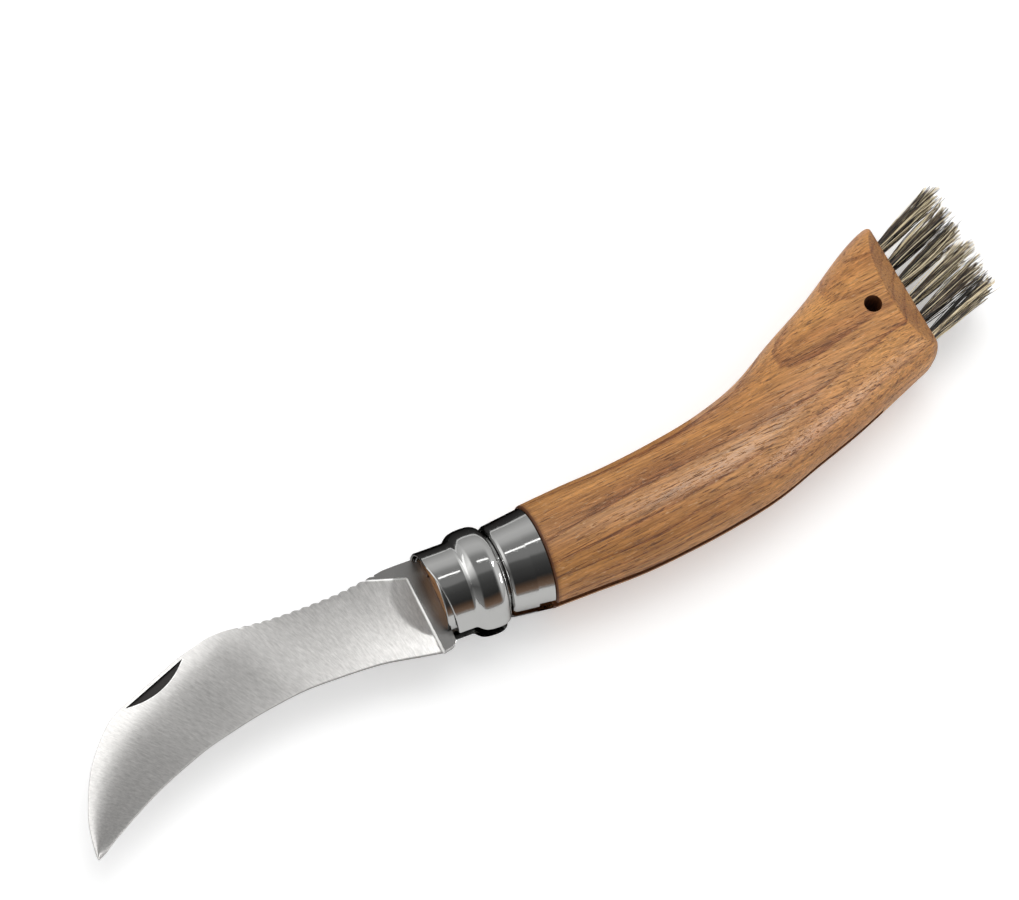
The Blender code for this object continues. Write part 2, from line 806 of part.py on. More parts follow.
def bounds_of(objects):
    """Lowest and highest corner of the objects as they are evaluated, in world space."""
    graph = bpy.context.evaluated_depsgraph_get()
    corners = []
    for made in objects:
        evaluated = made.evaluated_get(graph)
        corners += [evaluated.matrix_world @ Vector(corner) for corner in evaluated.bound_box]
    places = np.array(corners)
    return places.min(axis=0), places.max(axis=0)


def main():
    for old in list(bpy.data.objects):
        bpy.data.objects.remove(old)
    knife = add_empty("knife", None)
    oak = material("oak", (0.50, 0.26, 0.11), 0.5)
    bright_steel = material("bright_steel", (0.72, 0.72, 0.70), 0.14, 1.0)
    brushed_steel = material("brushed_steel", (0.70, 0.69, 0.67), 0.32, 1.0)
    hair = material("hair", (0.16, 0.12, 0.09), 0.6)

    blade_pivot = add_empty("blade_pivot", knife, (*pivot, 0))
    ring_axis = add_empty("ring_axis", knife)
    pieces = [
        build_handle(oak, knife),
        build_ferrule(bright_steel, knife),
        build_ring(bright_steel, ring_axis),
        build_pin(bright_steel, knife),
        build_blade(brushed_steel, blade_pivot),
    ]
    chance = np.random.default_rng(8)
    for name, mouth, lean, row_lean in tuft_places():
        pieces.append(build_tuft(name, mouth, lean, row_lean, hair, knife, chance))
        pieces.append(build_anchor(name, mouth, lean, bright_steel, knife))

    bpy.context.view_layer.update()
    for piece in pieces:
        settle(piece)
    low, high = bounds_of(pieces)
    knife.location = (-(low[0] + high[0]) / 2, -(low[1] + high[1]) / 2, -low[2])
    bpy.context.view_layer.update()


main()
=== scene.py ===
"""The folding mushroom knife's finished surfaces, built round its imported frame.

Lengths are metres. The collar's front rim is centred on `origin`; +X runs along the collar to the
handle, the cutting edge faces -Y and the knife lies on its side, with +Z up.
"""

import json
import math

import bpy
import numpy as np
from bpy.props import FloatProperty, FloatVectorProperty, IntProperty, PointerProperty
from bpy.types import Operator, Panel, PropertyGroup
from mathutils import Matrix, Vector


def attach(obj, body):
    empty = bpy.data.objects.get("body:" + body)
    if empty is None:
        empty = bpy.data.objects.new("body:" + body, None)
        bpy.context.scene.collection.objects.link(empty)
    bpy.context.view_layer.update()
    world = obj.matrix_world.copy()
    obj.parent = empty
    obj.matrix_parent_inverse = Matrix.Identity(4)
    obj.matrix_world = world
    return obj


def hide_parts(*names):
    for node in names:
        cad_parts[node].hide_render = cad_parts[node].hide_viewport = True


bl_info = {
    "name": "Mushroom knife",
    "version": (1, 0, 0),
    "blender": (4, 5, 0),
    "location": "3D View > Sidebar > Knife",
    "description": "Folding mushroom knife with a hooked blade, a turning lock ring and a brush",
    "category": "Object",
}

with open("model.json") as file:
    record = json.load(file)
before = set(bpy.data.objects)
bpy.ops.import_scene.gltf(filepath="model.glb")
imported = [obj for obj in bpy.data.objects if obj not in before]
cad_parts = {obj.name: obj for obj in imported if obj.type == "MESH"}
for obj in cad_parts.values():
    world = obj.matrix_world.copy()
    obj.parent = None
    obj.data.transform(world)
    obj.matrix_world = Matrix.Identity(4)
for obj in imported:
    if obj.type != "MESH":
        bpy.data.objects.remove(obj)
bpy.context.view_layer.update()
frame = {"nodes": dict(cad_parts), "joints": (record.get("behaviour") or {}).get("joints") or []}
joint_places = {joint["name"]: np.array(joint["pos_m"]) for joint in frame["joints"]}
origin = joint_places["ring_turn"]
pivot = (joint_places["blade_fold"] - origin)[:2]

mm = 0.001

# Clearances
fit_gap = 0.1 * mm
slot_gap = 0.25 * mm
stop_gap = 0.3 * mm
overrun = 1.0 * mm

# Collar
collar_length, collar_sides = 21.2 * mm, 193
sleeve_start, sleeve_radius, sleeve_wall = 0.2 * mm, 7.8 * mm, 0.5 * mm
band_radius, band_flare, band_wall = 9.0 * mm, 0.85 * mm, 0.7 * mm
band_start, band_round, band_edge = 12.9 * mm, 1.2 * mm, 0.14 * mm
notch_length, notch_width, notch_slope = 3.2 * mm, 4.2 * mm, 0.05 * mm
ring_end, ring_wall, ring_bead_start = 12.6 * mm, 0.6 * mm, 5.4 * mm
ring_gap_top, ring_gap_bottom = 1.15 * mm, 3.05 * mm
ring_lead, slant_start, slant_drop, slant_depth = 0.5 * mm, 3.0 * mm, 12.3 * mm, 2.5 * mm
rim_depth = 0.1 * mm
straight_top, straight_bottom = math.radians(28), math.radians(44)
ring_turn = math.radians(50)
sleeve_bore = sleeve_radius - sleeve_wall
band_bore = band_radius - band_wall
ring_bore = sleeve_radius + fit_gap
ring_radius = ring_bore + ring_wall

# Blade
pin_radius = 1.5 * mm
heel_drop, heel_round, shoulder_setback = 11.2 * mm, 1.4 * mm, 0.6 * mm
plunge_foot, plunge_corner, flat_end = (-1.9 * mm, -heel_drop), (-2.8 * mm, 4.6 * mm), (-10.2 * mm, 6.95 * mm)
plunge_slope = (-0.32 * mm, 0.08 * mm)
flat_spine = [(-2.2 * mm, 0.0), (-4.6 * mm, 0.0), (-6.6 * mm, -0.08 * mm)]
tip_share, bevel_width, bevel_half, edge_half = 0.65, 0.25 * mm, 0.11 * mm, 0.03 * mm
blade_rim, least_half, grind_width, weld_distance = 0.14 * mm, 0.02 * mm, 18 * mm, 0.004 * mm
rung_power = 1.12
serration_start, serration_pitch, serration_pitches = 8.4 * mm, 1.94 * mm, 14
valley_reach, valley_drop = 0.9 * mm, 0.14 * mm
roll_shares, roll_drop, roll_narrow, roll_wide = (0.38, 0.64), 0.42 * mm, 0.15, 0.60
nick_start, nick_margin, nick_shallow = 47.6 * mm, 0.6 * mm, 0.05 * mm
closing, slot_degrees = math.radians(178), 22
tang_half = ring_bore + pivot[1] - 2 * slot_gap

# Handle
front_radius, front_round, front_edge = 10.1 * mm, 0.4 * mm, 0.15 * mm
end_half_width, belly_half_height, end_half_height = 15.3 * mm, 10.16 * mm, 9.7 * mm
belly = 0.35
end_tilt, bevel_length, bevel_height = math.radians(5.2), 5.3 * mm, 4.5 * mm
corner_radius, corner_height = 1.3 * mm, 10.5 * mm
end_soft, rim_ease, rim_between = 0.16 * mm, 0.45 * mm, (80 * mm, 113 * mm)
hole_radius, hole_setback, hole_height = 1.75 * mm, 8.9 * mm, 21.5 * mm
grain_turn = math.radians(6)
# The first three numbers give a line of painted shade in the wood just behind the band
seam_shade_tone, seam_reach, seam_fade, end_start = 2.2, 0.6 * mm, 0.2 * mm, 10 * mm

# Brush
tufts_along, tuft_pitch, row_pitch = 6, 4.0 * mm, 3.8 * mm
tuft_radius, tuft_depth, brush_height = 1.05 * mm, 5.0 * mm, 24.1 * mm
brush_lean, brush_fan, row_fan = math.radians(23), math.radians(3), math.radians(4)
bristle_depth, bristle_bow, locks = 3.2 * mm, 0.35 * mm, 7
lock_near, lock_far, lock_pull, bristle_scatter = 0.35, 0.95, 0.55, 0.16
stray_share, stray_spread = 0.06, 1.35

# Outlines, as shares of the sizes that they follow
outer_spine_shares = [
    (0.468, 0.268), (0.505, 0.280), (0.545, 0.276), (0.590, 0.244), (0.632, 0.210), (0.677, 0.160),
    (0.722, 0.105), (0.768, 0.051), (0.806, 0.004), (0.843, -0.055), (0.873, -0.134), (0.899, -0.220),
    (0.924, -0.315), (0.947, -0.430), (0.970, -0.580), (0.987, -0.720), (0.996, -0.855),
    (1.000, -0.960), (0.998, -1.000),
]
inner_spine_shares = [
    (0.0, 0.952), (0.108, 0.909), (0.25, 0.845), (0.404, 0.812), (0.551, 0.803), (0.695, 0.805),
    (0.831, 0.825), (1.0, 0.884),
]
edge_shares = [
    (0.088, -0.408), (0.180, -0.362), (0.288, -0.348), (0.389, -0.352), (0.505, -0.402),
    (0.586, -0.455), (0.654, -0.508), (0.727, -0.587), (0.791, -0.665), (0.841, -0.738),
    (0.903, -0.836), (0.949, -0.916), (0.974, -0.966),
]
handle_shares = [
    (0.000, 0.006, 0.000), (0.098, 0.024, 0.062), (0.212, 0.041, 0.115), (0.325, 0.086, 0.144),
    (0.438, 0.153, 0.188), (0.551, 0.261, 0.303), (0.664, 0.440, 0.510), (0.778, 0.615, 0.697),
    (0.891, 0.821, 0.918), (0.947, 0.914, 0.975), (0.981, 0.960, 0.955), (1.000, 1.000, 0.900),
]
bead_shares = [
    (0.0, 0.0), (0.05, 0.12), (0.12, 0.44), (0.22, 0.77), (0.34, 0.93), (0.48, 1.0), (0.66, 0.99),
    (0.79, 0.88), (0.90, 0.58), (0.97, 0.12), (1.0, 0.0),
]

# Camera
camera_lens = 190.775
camera_right, camera_up = Vector((0.909183, -0.395191, 0.124972)), Vector((0.324667, 0.866280, 0.377702))
camera_place = Vector(origin) + Vector((-235.0213, -284.7235, 926.5593)) * mm

# The studio that steel shows: degrees round X from the far side's floor up and over, and brightness.
# Along the middle a low far side, grey walls, then the dark above and brown low on the near side
studio_from, studio_span = -20, 220
studio_middle = [
    (-20, 0.45), (8, 0.56), (30, 0.78), (44, 0.70), (58, 0.38), (70, 0.30), (86, 0.32), (96, 0.30),
    (102, 0.13), (120, 0.075), (148, 0.035), (158, (0.12, 0.075, 0.05)), (172, (0.26, 0.17, 0.12)),
    (182, 0.50), (200, 0.5),
]
studio_left = [
    (-20, 0.5), (20, 0.8), (45, 1.2), (65, 1.5), (85, 1.0), (106, 0.3), (125, 0.12), (165, 0.3), (200, 0.5),
]
studio_right = [(-20, 0.5), (20, 0.7), (70, 0.8), (110, 1.0), (150, 0.8), (200, 0.5)]


def length(name, millimetres, description):
    return FloatProperty(
        name=name, default=millimetres * mm, description=description, unit="LENGTH", precision=5
    )


def count(name, default, description):
    return IntProperty(name=name, default=default, description=description, min=1)


def share(name, default, description, high=1.0):
    return FloatProperty(name=name, default=default, description=description, min=0.0, max=high)


def colour(name, default, description):
    return FloatVectorProperty(
        name=name, default=default, description=description, subtype="COLOR", size=3, min=0.0, max=1.0
    )


class KnifeSizes(PropertyGroup):
    """Sizes of the finished knife."""

    blade_reach: length("Blade reach", 76.1, "From the collar's rim to the tip, along the collar")
    hook_drop: length("Hook drop", 25.4, "How far the tip hangs below the collar's axis")
    blade_thickness: length("Blade thickness", 1.7, "The stock's thickness at the spine")
    spine_height: length("Spine height", 7.7, "The spine's height above the collar's axis")
    serrations: count("Serrations", 14, "Round lobes on the inner spine")
    serration_depth: length("Serration depth", 0.28, "From a lobe's top to its valley")
    nick_length: length("Nail nick length", 14.4, "Along the spine")
    nick_width: length("Nail nick width", 1.9, "Across the blade")
    nick_depth: length("Nail nick depth", 0.5, "At its straight side")
    bead_radius: length("Ring bead radius", 9.9, "Out to the top of the lock ring's bead")
    handle_length: length("Handle length", 87.3, "From the collar to the brush's face")
    handle_rise: length("Handle rise", 25.0, "How far the handle's line curves up")
    bristles: count("Bristles", 84, "Bristles in each tuft")
    bristle_length: length("Bristle length", 18.5, "Out of the wood")
    bristle_radius: length("Bristle radius", 0.1, "At its root")
    bristle_spread: length("Bristle spread", 1.6, "Radius of each tuft at its tips")


class KnifeColours(PropertyGroup):
    """Colours of the finished knife."""

    oak_light: colour("Oak, light", (0.58, 0.268, 0.076), "Late wood between the pores")
    # The pore colour also paints the shade on the end's bevel and just behind the band
    oak_deep: colour("Oak, deep", (0.27, 0.085, 0.022), "Early wood, where the pores lie")
    oak_pore_and_shade: colour("Oak, pores", (0.085, 0.026, 0.008), "Open pores and fine cracks")
    # Partly ray flecks, partly painted glints
    oak_fleck_glint: colour("Oak, flecks", (0.78, 0.55, 0.32), "Pale ray flecks")
    bright_steel: colour("Bright steel", (0.50, 0.50, 0.49), "Collar, polished")
    satin_steel: colour("Satin steel", (0.60, 0.59, 0.575), "Blade, ground across")
    struck_steel: colour("Struck steel", (0.035, 0.033, 0.032), "Floor of the nail nick")
    dark_hair: colour("Dark hair", (0.012, 0.010, 0.009), "The darkest bristles")
    brown_hair: colour("Brown hair", (0.12, 0.082, 0.052), "The middle bristles")
    pale_hair: colour("Pale hair", (0.84, 0.72, 0.48), "The palest bristles")


class KnifeStage(PropertyGroup):
    """Floor and light."""

    floor: colour("Floor", (0.95, 0.95, 0.95), "The floor's plain colour")
    fill: share("Fill", 0.74, "Light from all round", 5.0)
    key: share("Key", 6.0, "Soft lamp above the spine's side, in watts", 1000.0)
    side: share("Side shine", 0.085, "Small lamp by the collar, in watts", 1000.0)
    glint: share("Glint", 2.6, "Strength of the card that steel shows as a thin line", 100.0)
    hook: share("Hook card", 2.0, "Strength of the card that the hook's back shows", 100.0)
    sheen: share("Sheen card", 11.0, "Strength of the card that the handle's lower side shows", 100.0)
    lift: share("Floor lift", 0.25, "Added to the floor as the camera sees it")


# Shapes


def curve_through(points, steps):
    """Catmull-Rom: each span is the cubic through its two points whose slope at a point is half the
    way between that point's neighbours."""
    nodes = np.array(points, float)
    nodes = np.vstack([2 * nodes[0] - nodes[1], nodes, 2 * nodes[-1] - nodes[-2]])
    t = (np.arange(steps) / steps)[None, :, None]
    a, b, c, d = (nodes[i : len(nodes) - 3 + i, None] for i in range(4))
    linear, square, cube = (c - a) * t, (2 * a - 5 * b + 4 * c - d) * t**2, (3 * b - a - 3 * c + d) * t**3
    return np.vstack([(b + (linear + square + cube) / 2).reshape(-1, nodes.shape[1]), nodes[-2:-1]])


def smoothstep(value, low, high):
    """0 up to low, 1 from high on, and 3t2 - 2t3 between them."""
    t = np.clip((value - low) / (high - low), 0, 1)
    return t * t * (3 - 2 * t)


def unit(angle):
    """The cosine and sine of each angle."""
    return np.stack([np.cos(angle), np.sin(angle)], -1)


def arc(centre, radius, start, stop, steps):
    """Points round a centre: its place plus the radius times the cosine and sine of each angle, from
    one number of degrees to another."""
    return np.asarray(centre) + radius * unit(np.radians(np.linspace(start, stop, steps)))


def distances(line):
    """How far along the line each of its points lies, from 0 to 1."""
    steps = np.linalg.norm(np.diff(line, axis=0), axis=1)
    return np.concatenate([[0], np.cumsum(steps)]) / steps.sum()


def along(line, places):
    """The line's points at these shares of its length."""
    at = distances(line)
    return np.stack([np.interp(places, at, column) for column in np.transpose(line)], 1)


def quads(rows, columns, wrap=False):
    """Corner numbers of the faces of a grid of points, whose columns may join round."""
    i, j = np.meshgrid(np.arange(rows - 1), np.arange(columns if wrap else columns - 1), indexing="ij")
    here, beyond, following = i * columns, (i + 1) * columns, (j + 1) % columns
    return np.stack([here + j, here + following, beyond + following, beyond + j], -1).reshape(-1, 4)


def outward(points, faces):
    """The faces, turned round if the volume that they close in is negative: the sum over triangles
    of the corners' triple product."""
    volume = sum(
        (points[face[:, 0]] * np.cross(points[face[:, i]], points[face[:, i + 1]])).sum()
        for face in faces for i in range(1, face.shape[1] - 1)
    )
    return faces if volume > 0 else [face[:, ::-1] for face in faces]


def tube(grid):
    """Rings of points, one to a row of the grid, joined and closed by a flat face at each end."""
    rows, columns = grid.shape[:2]
    end = np.arange(columns)[None, :]
    return grid.reshape(-1, 3), [quads(rows, columns, True), end[:, ::-1], end + (rows - 1) * columns]


def prism(outline, low, high):
    """A flat outline, carried straight up Z from low to high."""
    return tube(np.stack([np.column_stack([outline, np.full(len(outline), z)]) for z in (low, high)]))


def rod(radius, low, high, sides=48, centre=(0, 0)):
    """A circle carried up Z."""
    half_step = 180 / sides
    return prism(arc(centre, radius, half_step, 360 - half_step, sides), low, high)


def together(shapes):
    """Several shapes' points and faces as one."""
    points, faces, first = [], [], 0
    for shape_points, shape_faces in shapes:
        points.append(shape_points)
        faces += [face + first for face in outward(shape_points, shape_faces)]
        first += len(shape_points)
    return np.concatenate(points), faces


def shade(mesh, angle=35.0):
    """Shades the mesh smooth up to an angle in degrees."""
    mesh.shade_smooth()
    mesh.set_sharp_from_angle(angle=math.radians(angle))
    return mesh


def add_fields(mesh, fields):
    """Gives each point of the mesh a number in each named field."""
    for name, values in fields:
        mesh.attributes.new(name, "FLOAT", "POINT").data.foreach_set("value", values.astype(np.float32))


def make_mesh(name, points, faces, angle=35.0, fields=()):
    """A mesh from point rows and a list of face arrays, moved from the collar's front to its place."""
    mesh = bpy.data.meshes.new(name)
    faces = [row for face in outward(points, faces) for row in face.tolist()]
    mesh.from_pydata((points + origin).tolist(), [], faces)
    add_fields(mesh, fields)
    mesh.update()
    return shade(mesh, angle)


def linked(name, data):
    """A new object in the scene."""
    made = bpy.data.objects.new(name, data)
    bpy.context.scene.collection.objects.link(made)
    return made


def make_piece(name, mesh, finish, body, slot, *nodes):
    """Links the mesh as a piece that rides on its body and stands for the nodes."""
    piece = linked(name, mesh)
    if not mesh.materials:
        mesh.materials.append(finish)
    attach(piece, body)
    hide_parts(*nodes)


def modified(mesh, kind, **settings):
    """The mesh as one modifier leaves it."""
    work = linked("work", mesh)
    modifier = work.modifiers.new(kind, kind)
    for key, value in settings.items():
        setattr(modifier, key, value)
    bpy.context.view_layer.update()
    result = bpy.data.meshes.new_from_object(work.evaluated_get(bpy.context.evaluated_depsgraph_get()))
    bpy.data.objects.remove(work)
    return result


def cut(mesh, cutter, finish, inner):
    """The mesh without what lies inside the cutter's points and faces. Its skin keeps the one finish
    and the walls of the cut get the other."""
    tool = linked("cutter", make_mesh("cutter", *cutter))
    tool.data.materials.append(inner)
    if not mesh.materials:
        mesh.materials.append(finish)
    result = modified(
        mesh, "BOOLEAN", operation="DIFFERENCE", solver="EXACT", object=tool, material_mode="TRANSFER"
    )
    bpy.data.objects.remove(tool)
    return shade(result)


# Collar


def ring_front_at(height):
    """The ring's front edge: straight at first, then slanting back as the height falls."""
    return slant_depth * np.maximum(slant_start - height, 0) / slant_drop - ring_lead


def split_turn(profile, gap_low, gap_high, stretch=np.ones_like, front=None):
    """A closed profile turned round X from one side of a gap below it to the other. A point at radius
    r starts where r times the sine of its angle from -Y is the gap's half width there."""
    x, radius = np.transpose(profile)
    start = np.arcsin(np.clip(gap_high / radius, 0, 1))
    stop = 2 * math.pi - np.arcsin(np.clip(gap_low / radius, 0, 1))
    turn = start + (stop - start) * np.linspace(0, 1, collar_sides)[:, None]
    wide = radius * stretch(turn)
    y, z = -wide * np.cos(turn), wide * np.sin(turn)
    # beside its gap the stretched sheet still ends on the gap's plane
    z = np.where(turn < math.pi / 2, np.maximum(z, gap_high), z)
    z = np.where(turn > 1.5 * math.pi, np.minimum(z, -gap_low), z)
    x = np.broadcast_to(x, y.shape)
    if front is not None:
        # the slanted rim pushes the plain sheet back, less and less towards the bead
        push = np.maximum(front(y) + ring_lead, 0)
        x = x + push * np.clip((ring_bead_start - x) / (ring_bead_start - rim_depth), 0, 1)
    return tube(np.stack([x, y, z], -1))


def ring_stretch(turn):
    """Beside its gap the sheet wasn't rolled and stays straight: 1 over the cosine of the angle that
    is left to the straight part's end."""
    upper = turn < math.pi
    around = np.where(upper, turn, 2 * math.pi - turn)
    gap = np.where(upper, ring_gap_top, ring_gap_bottom)
    straight = np.where(upper, straight_top, straight_bottom)
    return 1 / np.cos(np.maximum(straight - np.maximum(around, np.arcsin(gap / ring_radius)), 0))


def ring_shape(sizes):
    """The bead's rise, drawn through its shares, over a straight sheet; inside, the same line a
    wall's thickness in. Half circles round both ends."""
    bead = curve_through(bead_shares, 6)
    lead = np.linspace(-ring_lead, ring_bead_start, 10)[:-1]
    x = np.concatenate([lead, ring_bead_start + bead[:, 0] * (ring_end - ring_bead_start)])
    rise = np.concatenate([0 * lead, np.maximum(bead[:, 1], 0) * (sizes.bead_radius - ring_radius)])
    outer = np.column_stack([x, ring_radius + rise])
    inner = np.column_stack([x, np.maximum(ring_bore, ring_radius + rise - ring_wall - stop_gap / 2)])
    half = ring_wall / 2
    rim = arc((x[0] + half, ring_bore + half), half, 270, 90, 9)
    tail = arc((x[-1] - half, (outer[-1, 1] + inner[-1, 1]) / 2), half, 90, -90, 9)
    kept = (x > x[0] + half) & (x < x[-1] - half)
    profile = np.vstack([rim, outer[kept], tail, inner[kept][::-1]])
    return split_turn(profile, ring_gap_bottom, ring_gap_top, ring_stretch, ring_front_at)


def ferrule_shape(sizes):
    """Sleeve, shoulder with a quarter round, and band that flares a little; the slit widens to the
    notch behind a short slope. Then the pin's hole."""
    notch_start = collar_length - notch_length
    rise = band_flare / (collar_length - band_start - band_round)
    widen = band_flare - rise * notch_length
    flare, edge, half = band_radius + band_flare, band_edge, sleeve_wall / 2
    before, behind = notch_start - notch_slope, notch_start + notch_slope
    profile = np.array([
        *arc((sleeve_start + half, sleeve_bore + half), half, 270, 90, 7),
        (band_start, sleeve_radius),
        *arc((band_start + band_round, band_radius - band_round), band_round, 180, 90, 8),
        (before, band_radius + widen - rise * notch_slope), (behind, band_radius + widen + rise * notch_slope),
        (collar_length - edge, flare - rise * edge), (collar_length, flare - edge),
        (collar_length, band_bore + band_flare + edge), (collar_length - edge, band_bore + band_flare),
        (behind, band_bore + widen), (before, band_bore + widen),
        (band_start + band_wall, band_bore), (band_start + band_wall, sleeve_bore),
    ])
    gap = np.where(profile[:, 0] > notch_start, notch_width / 2, sizes.blade_thickness / 2 + slot_gap)
    reach = sleeve_radius + overrun
    return split_turn(profile, gap, gap), rod(pin_radius + fit_gap, -reach, reach, centre=pivot)


# Blade


def serrated_spine(sizes, per_lobe=14):
    """The inner spine's smooth line, and how deep the valleys bite into it: between round lobes, the
    sine's absolute value, one less it is the share of the depth."""
    share_along, share_up = curve_through(inner_spine_shares, 12).T
    at = np.linspace(0, 1, sizes.serrations * per_lobe + 1)
    bite = 1 - np.abs(np.sin(math.pi * sizes.serrations * at))
    height = np.interp(at, share_along, share_up * sizes.spine_height)
    return np.stack([-serration_start - at * serration_pitches * serration_pitch, height], 1), bite


def outer_spine(sizes, steps=8):
    """The hook's back, a curve through shares of the blade's reach and the hook's drop."""
    return curve_through(np.multiply(outer_spine_shares, (-sizes.blade_reach, sizes.hook_drop)), steps)


def edge_line(sizes, steps=12):
    """The cutting edge, a curve from the plunge line's foot through shares of the same two."""
    edge = np.multiply(edge_shares, (-sizes.blade_reach, sizes.hook_drop))
    return curve_through([plunge_foot, *edge], steps)


def heel_line():
    """From the heel's front, round its lower corner, up its back to the tang's lower side."""
    back = ring_front_at(-ring_radius * math.cos(ring_turn)) - stop_gap
    centre = (back - heel_round, -heel_drop + stop_gap + heel_round)
    return np.vstack([arc(centre, heel_round, -90, 0, 13), [(back, pivot[1] - tang_half)]])


def segment_distance(x, y, a, b):
    """Distance from each (x, y) to the segment from a to b."""
    a, b = np.asarray(a), np.asarray(b)
    d = b - a
    t = np.clip(((x - a[0]) * d[0] + (y - a[1]) * d[1]) / (d @ d), 0, 1)
    return np.hypot(x - a[0] - t * d[0], y - a[1] - t * d[1])


def nick_cutter(sizes, face):
    """The nail nick's space: a crescent whose width falls from its middle as 1 less the distance's
    square. It is deepest at its straight side, and its floor rises evenly to the arc."""
    spine = np.vstack([serrated_spine(sizes)[0], outer_spine(sizes)[1:]])
    start = spine[np.argmin(np.abs(spine[:, 0] + nick_start))]
    far = spine[spine[:, 0] <= start[0]]
    end = far[np.argmin(np.abs(np.linalg.norm(far - start, axis=1) - sizes.nick_length))]
    direction = (end - start) / np.linalg.norm(end - start)
    inward = np.array([-direction[1], direction[0]])
    place = np.linspace(-1, 1, 41)[:, None] * 0.995
    middle = start + inward * nick_margin + direction * sizes.nick_length / 2
    straight = middle + direction * place * sizes.nick_length / 2
    bow = straight + inward * sizes.nick_width * (1 - place**2)

    def surface(line):
        gaps = np.linalg.norm(line[:, None] - face[None, :, :2], axis=2)
        return face[np.argmin(gaps, axis=1), 2:]

    shallow = surface(bow) - nick_shallow
    deep = np.minimum(surface(straight) - sizes.nick_depth * np.sqrt(1 - place**2), shallow)
    top = np.full_like(deep, sizes.blade_thickness)
    corners = (straight, top), (bow, top), (bow, shallow), (straight, deep)
    return tube(np.stack([np.hstack(corner) for corner in corners], 1))


